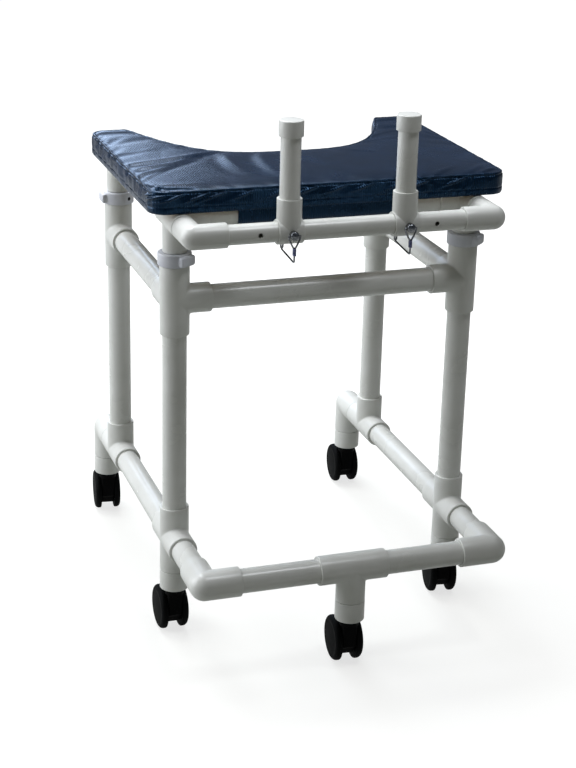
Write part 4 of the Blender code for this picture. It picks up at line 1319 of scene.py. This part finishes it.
    def fill(self, piece: bpy.types.Object) -> None:
        """Fill the cover: cloth under the foam's pressure, sewn down at its seams.

        The cloth starts 0.7% larger than its panels, so that it ripples between the seams.
        No point moves more than 1.8 mm.
        """
        mesh, steps = piece.data, 20
        start = rows_of(mesh, "co")
        distance, _ = from_ring(start[:, :2], self.seam)
        sewn = (distance < 3e-5) & (start[:, 2] > self.edge_z - 3e-5)
        sewn |= start[:, 2] < self.floor_z + 0.0024
        sewn |= (distance > 0.003) & (start[:, 2] < self.roof_z + 0.0004)
        group = piece.vertex_groups.new(name="sewn")
        group.add(np.flatnonzero(sewn).tolist(), 1.0, "REPLACE")
        cloth = piece.modifiers.new("foam_pressure", "CLOTH")
        cover = cloth.settings
        cover.quality, cover.mass, cover.air_damping = 6, 0.2, 6.0
        cover.tension_stiffness, cover.compression_stiffness = 20.0, 8.0
        cover.shear_stiffness, cover.bending_stiffness = 6.0, 0.02
        cover.vertex_group_mass = "sewn"
        cover.use_pressure, cover.uniform_pressure_force = True, 1.2
        cover.shrink_min = -0.007
        cover.effector_weights.gravity = 0.0
        cloth.collision_settings.use_collision = False
        cloth.point_cache.frame_start, cloth.point_cache.frame_end = 1, steps
        for step in range(1, steps + 1):
            bpy.context.scene.frame_set(step)
        shaped = piece.evaluated_get(bpy.context.evaluated_depsgraph_get())
        move = rows_of(shaped.data, "co") - start
        length = np.linalg.norm(move, axis=1, keepdims=True)
        move *= self.most_filled * np.tanh(length / self.most_filled) / np.maximum(length, 1e-9)
        piece.modifiers.remove(cloth)
        piece.vertex_groups.clear()
        bpy.context.scene.frame_set(1)
        mesh.vertices.foreach_set("co", (start + move).ravel())
        mesh.update()
        log.info("cushion: cloth moved points by up to %.2f mm", 1000 * length.max())

    def sew(self, piece: bpy.types.Object) -> None:
        """Add the seams' ridges and stitch lines, the puckers along them and the listed folds.

        A seam is a ridge, a bell across the edge, with a stitch groove 3.4 mm inside it. Puckers
        are products of sines of the path along the seam that die away from it. The band has
        slanted streaks in front, upright tucks at the sides and two seam lines. Every height,
        depth and bell's width is in metres.
        """
        dense = piece.modifiers.new("smooth", "SUBSURF")
        dense.levels = dense.render_levels = 1
        dense.boundary_smooth = "PRESERVE_CORNERS"
        mesh = evaluated_mesh(piece)
        piece.modifiers.clear()
        piece.data = mesh
        points, normals = rows_of(mesh, "co"), rows_of(mesh, "normal")
        distance, along = from_ring(points[:, :2], self.seam)
        drop = np.clip(self.edge_z - points[:, 2], 0, None)
        height, facing = points[:, 2], normals[:, 2]
        top = np.clip(facing, 0, 1) * (height > self.edge_z - 0.004)
        side = np.clip(1 - np.abs(facing), 0, 1) * (height > self.floor_z + 0.001) * (distance < 0.007)
        inside = np.where(top > side, distance, 0.0)

        def ripple(length: float, phase: float = 0.0) -> Array:
            """A sine along the seam."""
            return np.sin(along * TURN / length + phase)

        wave = ripple(0.0131) * ripple(0.047, 1.0) + 0.7 * ripple(0.0217, 2.0) * ripple(0.113)
        fine = ripple(0.0063) * (0.6 + 0.4 * ripple(0.029))
        ridge = 0.0005 * bell(inside / 0.0014) * bell(drop / 0.0012)
        groove = 0.0006 * bell((inside - 0.0034) / 0.0011) * top
        gather = np.exp(-inside / 0.0060) * (1 - np.exp(-inside / 0.0012)) * top
        shift = normals * (ridge - groove)[:, None]
        shift[:, 2] += gather * (0.00020 * wave + 0.00006 * fine)
        slant = along[:, None] + 3.0 * drop[:, None] - np.array(self.front_streaks)[None] / 1000
        streak = bell(slant / 0.0042).sum(1) * bell((drop - 0.0078) / 0.0048)
        upright = along[:, None] - np.array(self.side_tucks)[None] / 1000 - 0.25 * drop[:, None]
        tuck = bell(upright / 0.0022).sum(1) * bell((drop - 0.006) / 0.011)
        tuck += 0.5 * bell((upright + 0.007) / 0.003).sum(1) * bell(drop / 0.014)
        under = 0.0016 * bell((drop - 0.0026) / 0.0010)
        lower = 0.0007 * bell((drop - 0.0205) / 0.0009)
        tucks = wave * (np.exp(-drop / 0.007) + 0.8 * np.exp(-np.abs(drop - 0.0205) / 0.005))
        relief = 0.0042 * streak - 0.0016 * tuck + 0.0005 * tucks - under - lower
        shift += normals * (side * relief)[:, None]
        lift = sum(fold.lift(points[:, :2] - np.array([0.0, self.middle_y])) for fold in self.folds)
        shift[:, 2] += lift * top * np.clip(distance / 0.004, 0.15, 1)
        mesh.vertices.foreach_set("co", (points + shift).ravel())
        mesh.shade_smooth()
        mesh.update()

    def board(self) -> Shell:
        """The plywood board, with its edges eased."""
        low, high, eased = self.board_z, self.board_z + self.board_thickness, self.board_eased
        face = self.plan(self.board_inset + eased)
        edge, rim = outline(face), outline(self.plan(self.board_inset))
        band = [level(edge, low), level(rim, low + eased), level(rim, high - eased), level(edge, high)]
        return Shell().grid(level(face, low)).grid(level(face, high)).grid(np.stack(band))

    def flap_face(self, radius: float, ripple: float) -> Array:
        """One face of the flap, at a radius from the cross pipe.

        It runs straight down to the pipe's middle, then round its lower half and up behind.
        Its lower half ripples inwards along the pipe.

        Args:
            radius: the radius round the pipe.
            ripple: the ripple's depth.

        Returns:
            A grid of points along the pipe and round it.
        """
        turn = np.linspace(math.pi, TURN, 25)
        rise = np.linspace(self.flap_rise, 0, 8)[:-1]
        down = np.stack([np.full_like(rise, -radius), rise], -1)
        curve = np.stack([radius * np.cos(turn), radius * np.sin(turn)], -1)
        y, z = np.concatenate([down, curve, (down * [-1, 1])[::-1]]).T
        x = (np.linspace(-1, 1, 97) * self.flap_width / 2)[:, None]
        wave = ripple * np.sin(x / 0.0127 + 4 * z / 0.0267) * np.sin(x / 0.031)
        swell = 1 + np.minimum(wave, 0) / radius
        return np.stack([np.broadcast_to(x, swell.shape), self.layout.front_leg_y + y * swell,
                         self.layout.platform_z + z * np.where(z < 0, swell, 1)], -1)

    def flap(self) -> Shell:
        """The wrap flap round the cross pipe: a thin strip, closed at its edges."""
        inner = SMALL.radius + GAP
        outer = inner + self.flap_thickness
        faces = np.stack([self.flap_face(inner, 0.0), self.flap_face(outer, self.flap_ripple)])
        shell = Shell().grid(faces[0]).grid(faces[1])
        for edge in (0, -1):
            shell.grid(faces[:, edge]).grid(faces[:, :, edge])
        return shell

    def build(self) -> None:
        """Make the board, cushion and flap."""
        vinyl = self.finishes.vinyl
        cushion = place("cushion", self.cushion(), vinyl, "platform", "navy_vinyl", ["pad_cushion"], 180)
        self.fill(cushion)
        self.sew(cushion)
        place("board", self.board(), self.finishes.board, "platform", "pad_board", ["pad_board"], 50)
        flap = place("wrap_flap", self.flap(), vinyl, "platform", "navy_vinyl", ["pad_wrap_flap"], 50)


@dataclass
class Grips(Assembly):
    """Upright hand grips, the pins that lock them and the sprung wire bails."""

    spacing: float = 0.160
    half_run: float = 0.017
    rise: float = 0.1455
    cap_radius: float = 0.0161
    cap_height: float = 0.0210
    cap_wall: float = 0.0035
    head_radius: float = 0.006
    head_length: float = 0.0110
    head_standoff: float = 0.0022
    head_dome: float = 0.0036
    shaft_radius: float = 0.003
    tip_reach: float = 0.0080
    tip_taper: float = 0.0015
    wire_radius: float = 0.0012
    eye_half_width: float = 0.0078
    eye_length: float = 0.0165
    wrap_length: float = 0.0100
    wrap_radius: float = 0.0018
    wrap_wire: float = 0.00085
    wrap_turns: int = 6
    bail_drop: float = 0.0360
    rear_half_width: float = 0.0045
    rear_rise: float = 0.0050
    rear_apex: float = 0.0300

    @property
    def pivot_y(self) -> float:
        """Where the bail's eye passes through the pin's head, from the bar's centre line."""
        return -(SMALL.body + self.head_standoff + self.head_length / 2)

    def tee(self, at: Point) -> Shell:
        """The slip tee on the bar."""
        ends = {LEFT: End.SLIP, RIGHT: End.SLIP, UP: End.SOCKET}
        reach = {LEFT: self.half_run, RIGHT: self.half_run}
        return Fitting(SMALL, at, ends, fillet=0.0012, lip=0.0004, reach=reach).shell()

    def upright(self, at: Point) -> Shell:
        """The grip's pipe, up to the cap's roof."""
        return pipe_shell(SMALL, UP, at, SMALL.inset, self.rise - self.cap_wall - GAP)

    def cap(self, at: Point) -> Shell:
        """The flat-topped cap, with a rounded rim."""
        top, radius, wall = self.rise, self.cap_radius, SMALL.radius + SOCKET_PLAY
        low, roof, foot, rim = top - self.cap_height, top - self.cap_wall, 0.0007, 0.0014
        profile = [(0.0, roof), (wall, roof), (wall, low + CHAMFER), (wall + CHAMFER, low)]
        profile += arc(radius - foot, low + foot, foot, -90, 0) + arc(radius - rim, top - rim, rim, 0, 90)
        return Shell().turned(profile + [(0.0, top)], UP, at)

    def pin(self, at: Point) -> Shell:
        """The lock pin: domed head, straight shank and tapered tip."""
        neck, tip = SMALL.body + self.head_standoff, SMALL.body + self.tip_reach
        front, head, shaft = neck + self.head_length, self.head_radius, self.shaft_radius
        profile = [(head * math.sin(a), -front + self.head_dome * (1 - math.cos(a)))
                   for a in np.radians(np.linspace(0, 90, 9))]
        profile += [(head, -neck - 0.0006), (head - 0.0005, -neck), (shaft, -neck),
                    (shaft, tip - self.tip_taper), (shaft - self.tip_taper, tip), (0.0, tip)]
        return Shell().turned(profile, REARWARD, at, 40)

    def bail(self, at: Point) -> tuple[Shell, Shell]:
        """The bail's wire, and the wire wrapped round where its eye closes.

        Args:
            at: the middle of the pin head's cross hole.

        Returns:
            The bent wire and the wrap.
        """
        r, half, eye, apex = self.wire_radius, self.eye_half_width, self.eye_length, self.rear_apex
        rear = SMALL.body + self.tip_reach + 0.0015 + r - self.pivot_y
        low, waist = -self.bail_drop, self.rear_half_width * 0.45
        side = [(half, 0, 0.0), (half * 0.98, 0, -0.22 * eye), (half * 0.55, 0, -0.66 * eye), (r, 0, -eye)]
        ring = side + [(-x, y, z) for x, y, z in reversed(side)]
        strand = [(0, 0, -eye), (0, 0, low), (0, rear, low + 0.004), (0, rear, -apex)]
        loop = [(self.rear_half_width * math.cos(a), rear, self.rear_rise * math.sin(a))
                for a in np.radians(np.arange(0, 181, 15))]
        loop += [(x, rear, z) for x, z in ((-waist, -apex / 2), (-r * 1.05, -apex), (r * 1.05, -apex),
                                           (waist, -apex / 2))]
        wire = Shell()
        for corners, rounding, normal in ((ring + ring[:2], 0.0035, (0, 1, 0)), (strand, 0.004, (1, 0, 0)),
                                          (loop + loop[:2], 0.003, (0, 1, 0))):
            wire.grid(swept(np.array(at) + smooth_path(corners, rounding), r, normal))
        turns = np.linspace(0, TURN * self.wrap_turns, 16 * self.wrap_turns + 1)
        coil = np.stack([self.wrap_radius * np.cos(turns), self.wrap_radius * np.sin(turns),
                         -eye + 0.0005 - self.wrap_length * turns / turns[-1]], -1)
        return wire, Shell().grid(swept(np.array(at) + coil, self.wrap_wire, (0, 0, 1), 8))

    def build(self) -> None:
        """Make both grips with their pins and bails."""
        lay, finish = self.layout, self.finishes
        for side, sign, _ in SIDE_NAMES:
            at = (sign * self.spacing / 2, lay.platform_bar_y, lay.platform_z)
            wire, wrap = self.bail((at[0], at[1] + self.pivot_y, at[2]))
            bail = f"bail_{side}"
            for name, shell, material, body, slot, nodes, sharp in (
                    ("grip_tee", self.tee(at), finish.fitting, "platform", "white_pvc", [f"grip_{side}"], 40),
                    ("grip_upright", self.upright(at), finish.pipe, "platform", "white_pvc", [], 40),
                    ("grip_cap", self.cap(at), finish.fitting, "platform", "white_pvc", [], 40),
                    ("pin", self.pin(at), finish.steel, "platform", "plated_steel", [f"lock_pin_{side}"], 40),
                    ("bail_wire", wire, finish.steel, bail, "plated_steel", [f"lock_bail_{side}"], 60),
                    ("bail_wrap", wrap, finish.wrap, bail, "plated_steel", [], 60)):
                place(f"{name}_{side}", shell, material, body, slot, nodes, sharp)


@dataclass
class Studio:
    """Camera, floor, backdrop and lights."""

    shift_y: float
    yaw: float = -18.894
    pitch: float = -20.864
    roll: float = 1.487
    focal_px: float = 1749.95
    image_height: float = 768.0
    eye: Point = (-0.7813, -2.3145, 1.2306)
    floor_reach: float = 6.0
    floor_drop: float = 0.0005

    def camera(self) -> None:
        """The camera at the photograph's place, turned by yaw, pitch and roll."""
        yaw, pitch, roll = (math.radians(a) for a in (self.yaw, self.pitch, self.roll))
        ahead = Vector((-math.sin(yaw) * math.cos(pitch), math.cos(yaw) * math.cos(pitch), math.sin(pitch)))
        flat = ahead.cross(Vector((0, 0, 1))).normalized()
        over = flat.cross(ahead)
        right = math.cos(roll) * flat + math.sin(roll) * over
        up = -math.sin(roll) * flat + math.cos(roll) * over
        data = bpy.data.cameras.new("photo_camera")
        data.sensor_fit = "VERTICAL"
        data.sensor_height = 24.0
        data.lens = data.sensor_height * self.focal_px / self.image_height
        data.clip_start, data.clip_end = 0.1, 30.0
        camera = add_object("photo_camera", data)
        basis = Matrix((right, up, -ahead)).transposed().to_4x4()
        camera.matrix_world = Matrix.Translation(Vector(self.eye) + Vector((0, self.shift_y, 0))) @ basis
        bpy.context.scene.camera = camera

    def light(self, name: str, at: Point, target: Point, size: float, power: float,
              colour: str = "#F6F9FF") -> None:
        """A square soft light that faces a point."""
        data = bpy.data.lights.new(name, "AREA")
        data.shape, data.size, data.energy = "SQUARE", size, power
        data.color = srgb(colour)[:3]
        away = (Vector(at) - Vector(target)).normalized()
        turn = away.to_track_quat("Z", "Y").to_matrix().to_4x4()
        add_object(name, data).matrix_world = Matrix.Translation(at) @ turn

    def world(self) -> None:
        """White to the camera, with a dim even fill and a paler glossy surround."""
        world = bpy.data.worlds.new("studio_surround")
        bpy.context.scene.world = world
        tree = bare_tree(world)
        path = add_node(tree, "ShaderNodeLightPath")
        fill, gloss, white = (
            add_node(tree, "ShaderNodeBackground", {"Color": srgb(colour), "Strength": strength}).outputs[0]
            for colour, strength in (("#F5F2E2", 0.075), ("#E6EEFA", 0.15), ("#FFFFFF", 1.0)))
        shiny = add_node(tree, "ShaderNodeMixShader", {0: path.outputs["Is Glossy Ray"], 1: fill, 2: gloss})
        seen = add_node(tree, "ShaderNodeMixShader", {
            0: path.outputs["Is Camera Ray"], 1: shiny.outputs["Shader"], 2: white})
        add_node(tree, "ShaderNodeOutputWorld", {"Surface": seen.outputs["Shader"]})

    def floor(self) -> None:
        """A plain pale floor that goes white to the camera where no shadow lies."""
        material = bpy.data.materials.new("studio_floor")
        tree = bare_tree(material)
        path = add_node(tree, "ShaderNodeLightPath")
        glossy = add_node(tree, "ShaderNodeMath", {
            0: path.outputs["Is Glossy Ray"], 1: 0.30}, operation="MULTIPLY")
        seen = add_node(tree, "ShaderNodeMath", {
            0: path.outputs["Is Camera Ray"], 1: glossy.outputs["Value"]}, operation="MAXIMUM")
        matt = add_node(tree, "ShaderNodeBsdfDiffuse", {"Color": srgb("#9A9B96")})
        coords = add_node(tree, "ShaderNodeTexCoord")
        far = add_node(tree, "ShaderNodeVectorMath", {0: coords.outputs["Object"]}, operation="LENGTH")
        lift = add_node(tree, "ShaderNodeMapRange", {
            "Value": far.outputs["Value"], "From Min": 0.3, "From Max": 1.1, "To Min": 0.72, "To Max": 1.0})
        glow = add_node(tree, "ShaderNodeEmission", {
            "Color": srgb("#FFFFFF"), "Strength": lift.outputs["Result"]})
        none = add_node(tree, "ShaderNodeEmission", {"Strength": 0.0})
        extra = add_node(tree, "ShaderNodeMixShader", {
            0: seen.outputs["Value"], 1: none.outputs["Emission"], 2: glow.outputs["Emission"]})
        both = add_node(tree, "ShaderNodeAddShader", {0: matt.outputs["BSDF"], 1: extra.outputs["Shader"]})
        add_node(tree, "ShaderNodeOutputMaterial", {"Surface": both.outputs["Shader"]})
        mesh, reach = bpy.data.meshes.new("studio_floor"), self.floor_reach
        mesh.from_pydata([(-reach, -reach, 0), (reach, -reach, 0), (reach, reach, 0), (-reach, reach, 0)], [],
                         [(0, 1, 2, 3)])
        mesh.materials.append(material)
        floor = add_object("studio_floor", mesh)
        floor.location.z = -self.floor_drop

    def build(self) -> None:
        """Set the stage."""
        self.camera()
        self.world()
        self.floor()
        self.light("key_left", (-2.5, 0.9, 1.35), (0, 0, 0.4), 2.5, 71.0)
        self.light("top_back", (-0.35, 1.0, 2.6), (0, 0, 0.4), 1.6, 67.0)
        self.light("window_back", (-0.18, 2.6, 1.3), (0, 0, 0.6), 1.2, 14.0, "#C8DEFC")
        self.light("strip_above", (0.45, -0.70, 2.3), (0, -0.15, 0.6), 0.35, 9.0)
        bpy.context.scene.view_settings.view_transform = "Standard"


def main() -> None:
    """Build every sub-assembly in order, then the stage."""
    logging.basicConfig(level=logging.INFO, format="%(name)s: %(message)s")
    layout, finishes = Layout(), Finishes()
    for assembly in (BaseFrame, HeightCollars, Casters, Platform, ForearmPad, Grips):
        assembly(layout, finishes).build()
    Studio(shift_y=layout.front_leg_y + 0.163).build()


if __name__ == "__main__":
    main()
